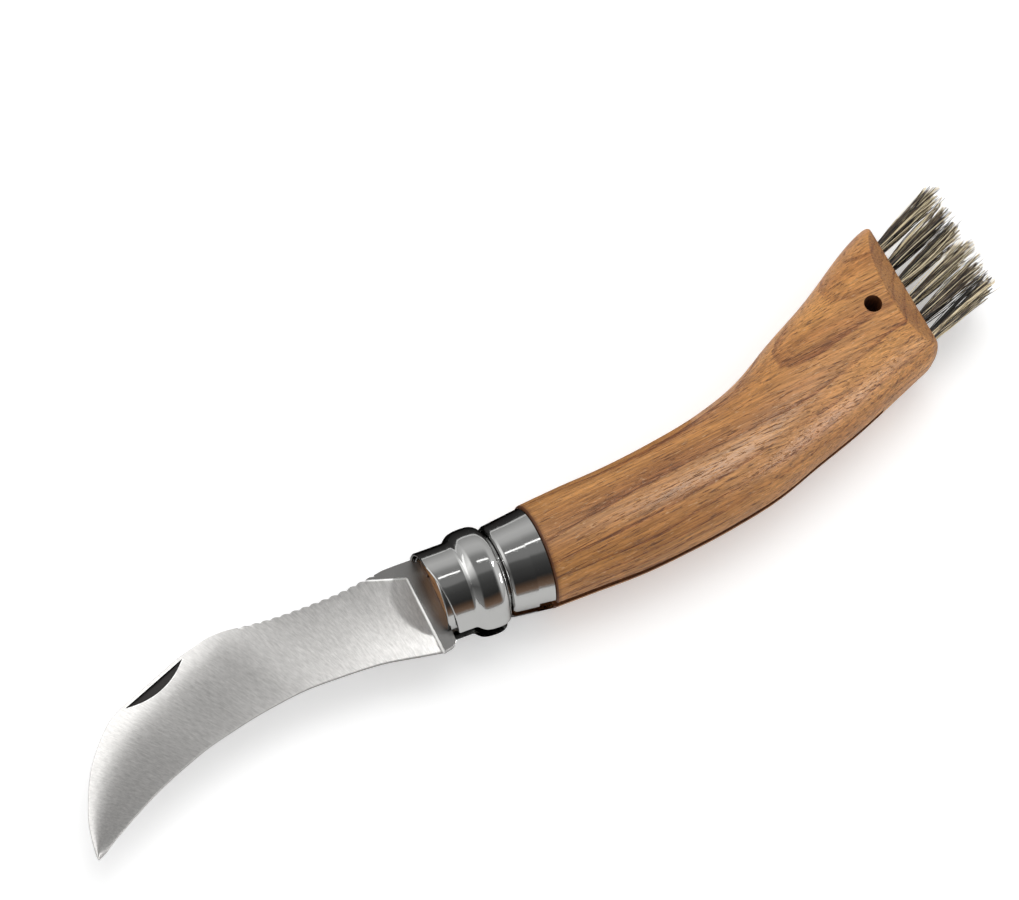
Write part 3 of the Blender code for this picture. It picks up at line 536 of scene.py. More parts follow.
def blade_shape(sizes):
    """Straight rungs run from the spine's line to the edge's. Half the thickness is the stock's on the
    tang and the heel's flat, and falls from spine to edge on the ground part; a narrow slope joins the
    two. Towards the tip the grind also rolls off to the spine, as the cube of the distance. The rims
    are rounded, and the last of the edge is a steeper bevel."""
    half = sizes.blade_thickness / 2
    tang_top, tang_low = pivot[1] + tang_half, pivot[1] - tang_half
    top_of_collar = sleeve_bore - stop_gap
    heel, edge = heel_line(), edge_line(sizes)
    inner, bite = serrated_spine(sizes)
    spine = np.vstack([inner, outer_spine(sizes)[1:]])
    over_flat = [(x, sizes.spine_height + rise) for x, rise in flat_spine]
    above = [
        (shoulder_setback, tang_top), (shoulder_setback, top_of_collar),
        (sleeve_start - stop_gap, top_of_collar), (-ring_lead - stop_gap, sizes.spine_height), over_flat[0],
    ]
    below = np.vstack([heel[::-1], [plunge_foot]])
    # Four stretches, the tang's round rear, its straight part, the root and the ground part, each with
    # the same number of points on the spine's line and the edge's
    few, many = (np.linspace(0, 1, steps)[1:] for steps in (16, 44))
    flat_top = curve_through([*over_flat, spine[0]], 8)
    ground_top = np.vstack([along(flat_top, many), spine[1:]])
    reach = distances(np.vstack([flat_top[:1], ground_top]))[1:]
    # The first rungs stand close together at the plunge line, and later ones share out the edge
    ground_low = along(np.vstack([edge, spine[-1:]]), reach**rung_power)
    rear, rear_top, rear_low = (arc(pivot, tang_half, 0, turn, 19) for turn in (0, 90, -90))
    upper = np.vstack([
        rear[:1], rear_top[1:], along([(pivot[0], tang_top), above[0]], few), along(above, many), ground_top
    ])
    lower = np.vstack([
        rear[:1], rear_low[1:], along([(pivot[0], tang_low), heel[-1]], few), along(below, many), ground_low
    ])

    width = np.linalg.norm(upper - lower, axis=1)[:, None]
    keen_from = 1 - bevel_width / np.maximum(width, 2 * mm)
    even = np.linspace(0.022, 0.24, 24), np.linspace(0.25, 0.97, 30)
    ground_shares = np.concatenate([[0, 0.004, 0.009, 0.015], *even, [0.988, 1.0]])
    bevel = np.array([0.35, 0.7, 1.0])
    t = np.hstack([ground_shares * keen_from, keen_from + (1 - keen_from) * bevel])
    x, y = np.moveaxis(upper[:, None] * (1 - t[..., None]) + lower[:, None] * t[..., None], 2, 0)
    valley = np.zeros((len(upper), 1))
    first = len(upper) - len(spine)
    valley[first : first + len(bite), 0] = bite
    valley = valley * np.clip(1 - t * width / valley_reach, 0, 1)
    y = y - valley * sizes.serration_depth

    fall = np.append(ground_shares, np.ones(len(bevel)))
    stock = np.full((len(upper), 1), half)
    stock[-len(reach) :, 0] *= 1 + (tip_share - 1) * reach
    ground_half = stock + (bevel_half - stock) * (fall + fall**2) / 2
    ground_half[:, -len(bevel) :] = bevel_half + (edge_half - bevel_half) * bevel
    outer = smoothstep(-upper[:, :1] / sizes.blade_reach, *roll_shares)
    rolled = roll_narrow + (roll_wide - roll_narrow) * outer
    ground_half -= roll_drop * outer * np.clip(1 - fall / rolled, 0, 1) ** 3 + valley_drop * valley

    # How far inside the flat: beyond the plunge line, or above the line that leaves its corner
    foot, corner, end = plunge_foot, plunge_corner, flat_end
    inside = np.minimum(segment_distance(x, y, foot, corner), segment_distance(x, y, corner, end))
    right = x > foot[0] + (corner[0] - foot[0]) / (corner[1] - foot[1]) * (y - foot[1])
    high = y > corner[1] + (end[1] - corner[1]) / (end[0] - corner[0]) * (x - corner[0])
    is_flat = np.where(x > corner[0], right | high, high & (x > end[0]))
    flat = smoothstep(inside * np.where(is_flat, 1, -1), *plunge_slope)

    def rounded(depth):
        """How far a rim's quarter round lowers the face, at this depth in from it."""
        return blade_rim - np.sqrt(blade_rim**2 - (blade_rim - np.clip(depth, 0, blade_rim)) ** 2)

    # Rounded rims along the spine, and on the heel's and tang's lower side
    z = ground_half + (half - ground_half) * flat - rounded(t * width) - rounded((1 - t) * width) * flat
    face = np.stack([x, y, np.maximum(z, least_half)], -1).reshape(-1, 3)

    rows, columns = x.shape
    number = np.arange(rows * columns).reshape(rows, columns)
    near = np.concatenate([number[:, 0], number[-1, 1:], number[::-1, -1][1:], number[0, ::-1][1:-1]])
    far = near + rows * columns
    wall = np.stack([far, np.roll(far, -1), np.roll(near, -1), near], 1)
    top = quads(rows, columns)
    steps = np.linalg.norm(np.diff((upper + lower) / 2, axis=0), axis=1)
    metres = np.concatenate([[0], np.cumsum(steps)])[:, None]
    fields = [
        (name, np.tile(np.broadcast_to(values, x.shape).reshape(-1), 2))
        for name, values in (("ground", 1 - flat), ("along", metres), ("across", t * grind_width))
    ]
    return np.concatenate([face, face * (1, 1, -1)]), [top, top[:, ::-1] + rows * columns, wall], fields


# Handle


def handle_end_at(sizes, height):
    """Where the end plane lies: the tangent of its tilt takes it forward as the height grows."""
    return collar_length + sizes.handle_length - (height - sizes.handle_rise) * math.tan(end_tilt)


def handle_line(sizes, at):
    """Centre, half width and half height at this share of the length, and the section's power."""
    share_along, share_up, share_wide = curve_through(handle_shares, 16).T
    rise = np.interp(at, share_along, share_up) * sizes.handle_rise
    half_width = front_radius + np.interp(at, share_along, share_wide) * (end_half_width - front_radius)
    swell = np.sin(math.pi / 2 * np.clip(at / belly, 0, 1)) * (belly_half_height - front_radius)
    thin = np.clip((at - belly) / (1 - belly), 0, 1) ** 2 * (end_half_height - belly_half_height)
    return rise, half_width, front_radius + swell + thin, 2 + 0.5 * at


def handle_wall(sizes, x, turn):
    """Superellipse: the cosine and sine of the angle, each to the power 2/p, times half the width
    and half the height."""
    at = (x - collar_length - fit_gap) / (sizes.handle_length + overrun)
    rise, half_width, half_height, power = handle_line(sizes, at)
    across, up = (np.sign(way) * np.abs(way) ** (2 / power) for way in (np.cos(turn), np.sin(turn)))
    return rise + across * half_width, up * half_height


def end_face(sizes, y, z):
    """The tilted end plane, the bevel above and below it and the round lower corner: the least of
    them, with its creases softened by a sum of exponentials."""
    plane = handle_end_at(sizes, y)
    bevel = plane - (np.abs(z) - end_half_height + bevel_height) * bevel_length / bevel_height
    below, past = np.minimum(y - corner_height, 0), np.maximum(y - corner_height, 0)
    rounded = np.sqrt(np.maximum(corner_radius**2 - below**2, (0.05 * mm) ** 2))
    corner = handle_end_at(sizes, corner_height) - corner_radius + rounded + past
    corner = np.where(past > corner_radius, plane + corner_radius, corner)
    ends = np.stack(np.broadcast_arrays(plane, bevel, corner))
    least = ends.min(0)
    return least - end_soft * np.log(np.exp((least - ends) / end_soft).sum(0))


def handle_shape(sizes, sides=144, rows=130):
    """Rings from the spigot's front to the end's rim, then the end face's rings in to its middle.
    The rim is found by halving, where the wall meets the end face, and is eased by a curve."""
    turn = 2 * math.pi * (np.arange(sides) + 0.5) / sides
    step = band_start + band_wall + fit_gap
    front = sleeve_start + shoulder_setback + stop_gap
    shoulder, first = collar_length + fit_gap, collar_length + fit_gap + front_round
    spigot, seat = sleeve_bore - fit_gap, band_bore - fit_gap
    circles = [
        (front, spigot - front_edge), (front + front_edge, spigot), (step, spigot), (step, seat),
        (shoulder, seat + band_flare),
    ]
    # Up to the shoulder the wood is round the collar's axis, and behind it round the handle's line
    behind = arc((first, front_radius - front_round), front_round, 180, 90, 6)[:-1]
    lift = [0] * len(circles) + [handle_shares[0][1] * sizes.handle_rise] * len(behind)
    x, radius = np.vstack([circles, behind]).T[..., None]
    y = np.reshape(lift, (-1, 1)) + radius * np.cos(turn)
    start = np.stack(np.broadcast_arrays(x, y, radius * np.sin(turn)), -1)

    low, high = (np.full(sides, edge) for edge in rim_between)
    for _ in range(50):
        middle = (low + high) / 2
        over = middle > end_face(sizes, *handle_wall(sizes, middle, turn))
        low, high = np.where(over, low, middle), np.where(over, middle, high)
    rim_x = (low + high) / 2
    rim = np.stack([rim_x, *handle_wall(sizes, rim_x, turn)], -1)
    x = first + (rim_x - rim_ease - first) * np.linspace(0, 1, rows)[:, None]
    wall = np.stack([x, *handle_wall(sizes, x, turn)], -1)
    middle = np.array([rim[:, 1].mean(), 0])
    spoke = rim[:, 1:] - middle
    inward = 1 - rim_ease / np.linalg.norm(spoke, axis=1)[:, None]

    def on_face(part):
        y, z = np.moveaxis(middle + spoke * part, -1, 0)
        return np.stack([end_face(sizes, y, z), y, z], -1)

    t = np.linspace(0, 1, 6)[1:-1, None, None]
    easing = (1 - t) ** 2 * wall[-1] + 2 * t * (1 - t) * rim + t**2 * on_face(inward)
    cap = on_face(np.linspace(1, 0.02, 40)[:, None, None] * inward)
    grid = np.concatenate([start, wall, easing, cap])
    points, loop = grid.reshape(-1, 3), np.arange(sides)
    poles = [(front, 0, 0), (end_face(sizes, middle[0], 0.0), middle[0], 0)]
    fans = [
        np.stack([row * sides + loop, row * sides + np.roll(loop, -1), np.full(sides, len(points) + pole)], 1)
        for pole, row in enumerate((0, len(grid) - 1))
    ]
    return np.vstack([points, poles]), [quads(len(grid), sides, True), fans[0][:, ::-1], fans[1]]


def blade_slot(sizes):
    """All that the blade sweeps as it closes: its outline, turned about the pivot, a little apart."""
    outline = np.vstack([heel_line()[::-1], edge_line(sizes, 6)])
    back = unit(np.array([closing, closing + math.pi / 2]))
    lift = 2 * slot_gap
    above = (outline - pivot) @ back + pivot + (-lift, lift)
    tip = np.array([-sizes.blade_reach, -sizes.hook_drop])
    start = math.degrees(math.atan2(above[-1][1] - pivot[1], above[-1][0] - pivot[0]))
    swept = arc(pivot, np.linalg.norm(tip - pivot) + lift, start, start - slot_degrees, 12)
    floor, top = -front_radius - sizes.handle_rise, pivot[1] + tang_half + lift
    corners = [(-overrun, floor), (swept[-1][0], floor)], [(pivot[0] + tang_half + lift, top), (-overrun, top)]
    half = sizes.blade_thickness / 2 + slot_gap / 2
    return prism(np.vstack([corners[0], swept[::-1], above[::-1], corners[1]]), -half, half)


def notch_pocket():
    """The wood is cleared behind the band's notch, wider than the saw slot."""
    front, rear = collar_length - notch_length + fit_gap, collar_length - fit_gap
    low, high = -band_bore - notch_length / 2, -band_bore + notch_length / 2
    outline = [(front, low), (rear, low), (rear, high), (front, high)]
    return prism(outline, -notch_width / 2, notch_width / 2)


def tuft_places(sizes):
    """Each tuft's name, the turn that points Z out of its hole, and its lean to the row's side."""
    places = []
    for row, side in (("lower", -0.5), ("upper", 0.5)):
        for k in range(tufts_along):
            across = k - (tufts_along - 1) / 2
            height = brush_height + across * tuft_pitch
            mouth = Matrix.Translation((handle_end_at(sizes, height), height, side * row_pitch))
            lean = brush_lean + brush_fan * across / (tufts_along - 1)
            turn = mouth @ Matrix.Rotation(lean, 4, "Z") @ Matrix.Rotation(math.pi / 2, 4, "Y")
            places.append((f"{row}_{k + 1}", np.array(turn), side * row_fan))
    return places


def moved(points, turn):
    """The points turned, then shifted, by a 4 by 4 matrix."""
    return points @ turn[:3, :3].T + turn[:3, 3]


def handle_cutters(sizes):
    """The tufts' holes, the pin's hole and the lanyard hole."""
    drilled = []
    for _, turn, _ in tuft_places(sizes):
        points, faces = rod(tuft_radius, -tuft_depth, overrun, 32)
        drilled.append((moved(points, turn), faces))
    reach = belly_half_height + overrun
    lanyard = (collar_length + sizes.handle_length - hole_setback, hole_height)
    drilled.append(rod(pin_radius + fit_gap, -reach, reach, 64, pivot))
    drilled.append(rod(hole_radius, -reach, reach, 64, lanyard))
    return together(drilled)


def mark_end_grain_and_shade(mesh):
    """Where the skin faces along the fibres its pores are cut across and it is darker, partly as painted
    shade on the end's bevel; just behind the band lies a line of painted shade: the point field end."""
    place, facing = np.empty((2, len(mesh.vertices) * 3), np.float32)
    mesh.vertices.foreach_get("co", place)
    mesh.vertex_normals.foreach_get("vector", facing)
    lengthwise = facing.reshape(-1, 3) @ (math.cos(grain_turn), math.sin(grain_turn), 0)
    behind = place[::3] - origin[0] - collar_length
    # cut end grain, darkened partly as painted shade on the end's bevel
    end = smoothstep(lengthwise, 0.3, 0.6) * (behind > end_start)
    # painted shade: a dark line in the wood just behind the band's rear edge
    seam_shade = seam_shade_tone * smoothstep(seam_reach - behind, 0, seam_fade) * (behind > 0)
    add_fields(mesh, [("end", np.maximum(end, seam_shade))])


# Brush


def tuft_shape(sizes, turn, row_lean, chance):
    """Bristles as four-sided tubes on quadratic curves: straight out of the hole, then spreading.
    Each keeps near the others of its strand, so that the tuft parts into locks."""
    hairs, spread, stations, sides = sizes.bristles, sizes.bristle_spread, 7, 4
    k = np.arange(hairs)
    packed = tuft_radius - fit_gap - 2 * sizes.bristle_radius
    root = packed * np.sqrt((k + 0.5) / hairs)[:, None] * unit(k * math.pi * (3 - math.sqrt(5)))
    lock_angle = 2 * math.pi * (np.arange(locks) + chance.random(locks) * 0.6) / locks
    lock_reach = spread * np.where(np.arange(locks) % 3 == 0, lock_near, lock_far)
    lock_tip = lock_reach[:, None] * unit(lock_angle)
    lock_length = 1 - 0.10 * chance.random(locks)
    evenly = root * spread / packed
    nearest = np.argmin(np.linalg.norm(evenly[:, None] - lock_tip[None], axis=2), axis=1)
    tip = (1 - lock_pull) * evenly + lock_pull * lock_tip[nearest]
    tip += bristle_scatter * spread * chance.standard_normal((hairs, 2))
    stray = chance.random(hairs) < stray_share
    tip = np.where(stray[:, None], tip * stray_spread, tip)
    reach = sizes.bristle_length * lock_length[nearest] * (1 - 0.12 * chance.random(hairs) ** 2)
    reach = np.where(stray, sizes.bristle_length * (0.95 + 0.08 * chance.random(hairs)), reach)
    bow = bristle_bow * chance.standard_normal((hairs, 2))
    t = np.linspace(0, 1, stations)
    z = -bristle_depth + (reach + bristle_depth)[:, None] * t
    out = np.clip(z / reach[:, None], 0, 1)[..., None]
    xy = root[:, None] + (tip - root)[:, None] * (0.22 * out + 0.78 * out**2)
    xy += np.sin(math.pi * out) * bow[:, None]
    xy[..., 0] -= (reach * math.tan(row_lean))[:, None] * out[..., 0]
    centre = np.concatenate([xy, z[..., None]], -1)
    taper = sizes.bristle_radius * (0.8 + 0.4 * chance.random(hairs))[:, None] * (1 - 0.45 * t**2)
    twist = (chance.random(hairs) * 2 * math.pi)[:, None] + 2 * math.pi * np.arange(sides) / sides
    around = np.concatenate([unit(twist), np.zeros((*twist.shape, 1))], -1)
    points = (centre[:, :, None] + taper[..., None, None] * around[:, None]).reshape(-1, 3)
    each = stations * sides
    one = np.concatenate(tube(points[:each].reshape(stations, sides, 3))[1])
    faces = (one[None] + each * k[:, None, None]).reshape(-1, sides)
    lock_shade = chance.random(locks)
    tone = np.clip(0.25 * lock_shade[nearest] + 0.75 * chance.random(hairs), 0, 1)
    fields = ("shade", np.repeat(tone, each)), ("out", np.tile(np.repeat(t, sides), hairs))
    return moved(points, turn), [faces], fields


# Materials


class Value:
    """An output in a node tree. A sum, difference or product of values is a Math node."""

    def __init__(self, nodes, socket):
        self.nodes, self.socket = nodes, socket

    def __add__(self, other):
        return self.nodes.math("ADD", self, other)

    def __sub__(self, other):
        return self.nodes.math("SUBTRACT", self, other)

    def __rsub__(self, other):
        return self.nodes.math("SUBTRACT", other, self)

    def __mul__(self, other):
        return self.nodes.math("MULTIPLY", self, other)


class Nodes:
    """Adds nodes to a tree. An input is given by name or number, as a constant or a Value."""

    def __init__(self, tree):
        self.tree = tree

    def give(self, node, inputs):
        for key, value in inputs.items():
            socket = node.inputs[key]
            if isinstance(value, Value):
                self.tree.links.new(value.socket, socket)
            else:
                socket.default_value = (*value[:3], 1) if socket.type == "RGBA" else value

    def add(self, kind, inputs=(), **settings):
        node = self.tree.nodes.new("ShaderNode" + kind)
        for key, value in settings.items():
            setattr(node, key, value)
        self.give(node, dict(inputs))
        return node

    def value(self, kind, inputs=(), output=0, **settings):
        return Value(self, self.add(kind, inputs, **settings).outputs[output])

    def math(self, operation, a, b=0.0, c=0.5):
        return self.value("Math", {0: a, 1: b, 2: c}, operation=operation)

    def blend(self, factor, a, b, mode="MIX"):
        return self.value("Mix", {0: factor, 6: a, 7: b}, 2, data_type="RGBA", blend_type=mode)

    def shaded(self, base, tone):
        return self.blend(1.0, base, tone, "MULTIPLY")

    def ramp(self, factor, *stops):
        node = self.add("ValToRGB", {0: factor})
        line = node.color_ramp.elements
        while len(line) < len(stops):
            line.new(0.5)
        for element, (place, value) in zip(line, stops):
            element.position = place
            element.color = (*value, 1) if hasattr(value, "__len__") else (value, value, value, 1)
        return Value(self, node.outputs[0])

    def mapped(self, vector, size, turn=(0, 0, 0), shift=(0, 0, 0)):
        """The vector turned, then stretched: Mapping as a texture, so that size counts per metre."""
        turned = self.value("Mapping", {"Vector": vector, "Rotation": turn, "Location": shift})
        return self.value("Mapping", {"Vector": turned, "Scale": size})

    def noise(self, vector, size, detail=2.0, rough=0.5, **mapping):
        vector = self.mapped(vector, size, **mapping)
        values = {"Vector": vector, "Scale": 1.0, "Detail": detail, "Roughness": rough, "Distortion": 0.0}
        return self.value("TexNoise", values)

    def parts(self, vector):
        """The vector's three numbers."""
        return [Value(self, socket) for socket in self.add("SeparateXYZ", {0: vector}).outputs]

    def field(self, name):
        return self.value("Attribute", output="Fac", attribute_name=name)

    def bump(self, height, strength, distance):
        return self.value("Bump", {"Height": height, "Strength": strength, "Distance": distance})


class Finish(Nodes):
    """A material with a Principled shader, and the nodes that feed it."""

    def __init__(self, name, base, rough, metallic=0.0):
        self.made = bpy.data.materials.new(name)
        self.made.use_nodes = True
        self.made.diffuse_color = (*base, 1)
        super().__init__(self.made.node_tree)
        self.feed({"Base Color": base, "Roughness": rough, "Metallic": metallic})

    def feed(self, inputs):
        """Gives the shader these inputs, and returns the material."""
        self.give(self.tree.nodes["Principled BSDF"], inputs)
        return self.made

    def place(self):
        return self.value("TexCoord", output="Object")

    def marks(self, rough, smears, scratches):
        """Marks of use on steel that is this rough: the roughness with them, and their height."""
        values = {"Vector": self.place(), "Roughness": rough, "Smears": smears, "Scratches": scratches}
        return [Value(self, socket) for socket in self.add("Group", values, node_tree=handling_marks()).outputs]


def handling_marks(name="Handling marks"):
    """Fine marks of use that the bright, satin and wire steels share: short scratches both ways and
    faint smears. Roughness is the plain value plus a share of them, Height is their depth."""
    if name in bpy.data.node_groups:
        return bpy.data.node_groups[name]
    group = bpy.data.node_groups.new(name, "ShaderNodeTree")
    for label, way, kind in (
        ("Vector", "INPUT", "Vector"), ("Roughness", "INPUT", "Float"), ("Smears", "INPUT", "Float"),
        ("Scratches", "INPUT", "Float"), ("Roughness", "OUTPUT", "Float"), ("Height", "OUTPUT", "Float"),
    ):
        group.interface.new_socket(name=label, in_out=way, socket_type="NodeSocket" + kind)
    nodes = Nodes(group)
    given, made = group.nodes.new("NodeGroupInput"), group.nodes.new("NodeGroupOutput")
    vector, rough, smears, scratches = (Value(nodes, socket) for socket in given.outputs[:4])
    smear = nodes.noise(vector, (170, 120, 150), 3.0, 0.6)
    one = nodes.noise(vector, (400, 9000, 9000), 1.0, turn=(0.2, 0.3, 0.6))
    two = nodes.noise(vector, (9000, 500, 9000), 1.0, turn=(0.1, 0.5, -0.3))
    lines = nodes.ramp(nodes.math("MAXIMUM", one, two), (0.66, 0.0), (0.74, 1.0))
    marked = (smear - 0.5) * smears + lines * scratches
    nodes.give(made, {"Roughness": rough + marked, "Height": lines * -1.0})
    return group


def oak_material(colours):
    """Straight-grained oak: growth rings round a pith below the piece, pores as dashes along the grain
    and crowded where a ring starts, fibres, pale flecks that are partly ray flecks and partly painted
    glints, changes of tone, and a slow lightening towards the brush end. Where the skin cuts across
    the fibres it is darker, partly as painted shade, and a line of painted shade lies just behind the band."""
    oak = Finish("Oak", colours.oak_light, 0.46)
    grain = oak.mapped(oak.place(), (1, 1, 1), (0.03, 0.04, -grain_turn))
    lengthwise, across, up = oak.parts(grain)
    y = across + 0.034
    z = up + oak.noise(grain, (16, 50, 50)) * (4 * mm) + 0.050
    radius = oak.math("SQRT", y * y + z * z) + oak.noise(grain, (45, 420, 420), 3.0) * (1.1 * mm)
    ring = oak.math("FRACT", radius * (1 / (2.3 * mm)))
    early = oak.ramp(ring, (0.0, 1.0), (0.07, 0.9), (0.20, 0.30), (0.45, 0.0), (0.95, 0.0), (1.0, 0.9))
    early = early * oak.ramp(oak.noise(grain, (35, 160, 160)), (0.38, 0.25), (0.62, 1.0))

    long_pores = oak.noise(grain, (230, 3300, 3300), 2.0, 0.55)
    fine_pores = oak.noise(grain, (520, 6800, 6800), 2.0, 0.55, shift=(0.3, 0.1, 0.2))
    crowd = early * 0.10
    long_pores = oak.ramp(long_pores + crowd, (0.61, 0.0), (0.66, 1.0))
    pores = oak.math("MAXIMUM", long_pores, oak.ramp(fine_pores + crowd, (0.61, 0.0), (0.68, 0.7)))
    fibre = oak.noise(grain, (75, 2300, 2300), 4.0, 0.7)
    tone = oak.noise(grain, (16, 170, 170), 3.0, 0.6)
    # pale flecks along the grain: partly ray flecks, partly painted glints
    flecks = oak.noise(grain, (700, 2600, 4200), 1.5, 0.5, shift=(0.2, 0.1, 0.4))
    flecks = oak.ramp(flecks, (0.62, 0.0), (0.78, 1.0))

    base = oak.blend(early * 0.85, colours.oak_light, colours.oak_deep)
    base = oak.blend(oak.ramp(tone, (0.38, 0.0), (0.68, 0.48)), base, colours.oak_deep)
    base = oak.shaded(base, oak.ramp(fibre, (0.32, 0.5), (0.68, 1.26)))
    # lighter evenly along the length, towards the brush end
    slow = oak.math("MULTIPLY_ADD", lengthwise, 1 / 0.09, 0.05)
    base = oak.shaded(base, oak.ramp(slow, (0.0, 0.90), (1.0, 1.14)))
    base = oak.blend(flecks * 0.34, base, colours.oak_fleck_glint)
    # the field end darkens cut end grain and paints shade on the end's bevel and just behind the band
    for mask, part in ((pores, 0.72), (oak.field("end"), 0.42)):
        base = oak.blend(mask * part, base, colours.oak_pore_and_shade)
    return oak.feed({
        "Base Color": base,
        "Roughness": fibre * 0.22 + pores * 0.2 + 0.30,
        "Normal": oak.bump(fibre * 0.35 - pores, 0.6, 0.1 * mm),
        "Specular IOR Level": 0.35,
    })


def sawn_oak_shade_material(colours):
    """The walls of slot and holes: unvarnished and rough, and painted dark as the shade inside them."""
    sawn_shade = Finish("Sawn oak, painted shade", colours.oak_deep, 0.8)
    marks = sawn_shade.noise(sawn_shade.place(), (2600, 500, 500), 3.0, 0.6)
    base = sawn_shade.shaded(colours.oak_deep, sawn_shade.ramp(marks, (0.3, 0.25), (0.7, 0.6)))
    return sawn_shade.feed({"Base Color": base, "Normal": sawn_shade.bump(marks, 0.5, 0.1 * mm), "Specular IOR Level": 0.2})


def bright_steel_material(colours):
    """Polished collar: nearly a mirror, pressed sheet that waves a little, with marks of use."""
    bright = Finish("Bright steel", colours.bright_steel, 0.10, 1.0)
    rough, marks = bright.marks(0.075, 0.10, 0.10)
    wave = bright.noise(bright.place(), (170, 130, 130), 1.0, 0.4)
    bump = bright.bump(wave + marks * 0.012, 0.5, 0.28 * mm)
    return bright.feed({"Roughness": rough, "Normal": bump, "Specular Tint": (0.25, 0.25, 0.25)})


def satin_steel_material(colours):
    """Ground blade: fine lines across it on the ground part, a darker even polish on the heel's flat
    and a painted highlight between them: a near-white, rougher line along the plunge line."""
    satin = Finish("Satin steel", colours.satin_steel, 0.3, 1.0)
    grind = satin.value("UVMap", uv_map="Grind")
    ground = satin.field("ground")
    rough, marks = satin.marks(0.22, 0.06, 0.02)
    lines = satin.noise(grind, (9500, 260, 1), 3.0, 0.7)
    broad = satin.noise(grind, (2300, 620, 1), 3.0, 0.65)
    speck = satin.noise(satin.place(), (5200, 5200, 5200), 1.0)
    # painted highlight: the line where ground part and flat meet is painted near white
    plunge_highlight = ground * (1.0 - ground) * 4.0
    flat = tuple(0.72 * part for part in colours.satin_steel)
    tone = satin.ramp(lines * 0.4 + speck * 0.1 + broad * 0.5, (0.35, 0.76), (0.65, 1.16))
    base = satin.blend(ground, flat, satin.shaded(colours.satin_steel, tone))
    height = (lines + speck * 0.3) * ground + marks * 0.08
    return satin.feed({
        "Base Color": satin.blend(plunge_highlight, base, (1.0, 1.0, 0.98)),
        "Roughness": rough + (((lines + broad * 0.3) * 0.17 + 0.05) * ground + plunge_highlight * 0.25),
        "Normal": satin.bump(height, 0.22, 0.02 * mm),
        "Anisotropic": 0.75,
        "Tangent": satin.value("Tangent", direction_type="UV_MAP", uv_map="Grind"),
    })


def struck_steel_material(colours):
    """The nick's floor: struck before grinding and left dark."""
    struck = Finish("Struck steel", colours.struck_steel, 0.45, 1.0)
    grit = struck.noise(struck.place(), (3000, 3000, 3000), 3.0, 0.6)
    base = struck.shaded(colours.struck_steel, struck.ramp(grit, (0.3, 0.75), (0.7, 1.25)))
    return struck.feed({"Base Color": base, "Roughness": struck.ramp(grit, (0.3, 0.38), (0.7, 0.6))})


def wire_material(colours):
    """Plain steel of the staples."""
    wire = Finish("Wire", colours.satin_steel, 0.3, 1.0)
    rough, marks = wire.marks(0.28, 0.15, 0.1)
    return wire.feed({"Roughness": rough, "Normal": wire.bump(marks, 0.2, 0.02 * mm)})


def hair_material(colours):
    """Mixed bristles: each has its own tone, from near black to straw, with painted shade towards the root."""
    hair = Finish("Hair", colours.brown_hair, 0.42)
    mottle = hair.noise(hair.place(), (500, 500, 500))
    # the share out along the bristle lightens it: painted shade at the root
    tone = hair.field("shade") + (mottle - 0.5) * 0.25 + hair.field("out") * 0.14
    dark, brown, pale = colours.dark_hair, colours.brown_hair, colours.pale_hair
    base = hair.ramp(tone, (0.0, dark), (0.42, dark), (0.52, brown), (0.66, brown), (0.75, pale), (1.0, pale))
    return hair.feed({"Base Color": base, "Roughness": hair.ramp(mottle, (0.3, 0.36), (0.7, 0.52))})


def material(name):
    """The named finish, made the first time that it is asked for."""
    makers = {
        "Oak": oak_material,
        "Sawn oak, painted shade": sawn_oak_shade_material,
        "Struck steel": struck_steel_material,
        "Bright steel": bright_steel_material,
        "Satin steel": satin_steel_material,
        "Wire": wire_material,
        "Hair": hair_material,
    }
    return bpy.data.materials.get(name) or makers[name](bpy.context.scene.knife_colours)


def dress_node(name, finish):
    """Gives a frame solid its finish."""
    solid = frame["nodes"][name]
    solid.data.materials.clear()
    solid.data.materials.append(finish)


# Operators


class KNIFE_OT_handle(Operator):
    """Turned and curved oak handle with its slot, bevelled end and drilled holes"""

    bl_idname = "knife.handle"
    bl_label = "Handle"

    def execute(self, context):
        sizes, oak, sawn_shade = context.scene.knife_sizes, material("Oak"), material("Sawn oak, painted shade")
        mesh = make_mesh("oak_handle", *handle_shape(sizes))
        # the walls of slot, notch pocket and holes take oak painted dark as shade
        for cutter in (blade_slot(sizes), notch_pocket(), handle_cutters(sizes)):
            mesh = cut(mesh, cutter, oak, sawn_shade)
        mark_end_grain_and_shade(mesh)
        make_piece("oak_handle", mesh, oak, "grip", "oak", "handle")
        return {"FINISHED"}


class KNIFE_OT_ferrule(Operator):
    """Fixed sleeve and band of the collar, slit below"""

    bl_idname = "knife.ferrule"
    bl_label = "Ferrule"

    def execute(self, context):
        sheet, hole = ferrule_shape(context.scene.knife_sizes)
        bright = material("Bright steel")
        mesh = cut(make_mesh("steel_ferrule", *sheet), hole, bright, bright)
        make_piece("steel_ferrule", mesh, bright, "grip", "bright_steel", "fixed_ferrule")
        return {"FINISHED"}


class KNIFE_OT_lock_ring(Operator):
    """Split lock ring with its raised bead and slanted front"""

    bl_idname = "knife.lock_ring"
    bl_label = "Lock ring"

    def execute(self, context):
        mesh = make_mesh("steel_lock_ring", *ring_shape(context.scene.knife_sizes))
        make_piece("steel_lock_ring", mesh, material("Bright steel"), "ring", "bright_steel", "lock_ring")
        return {"FINISHED"}


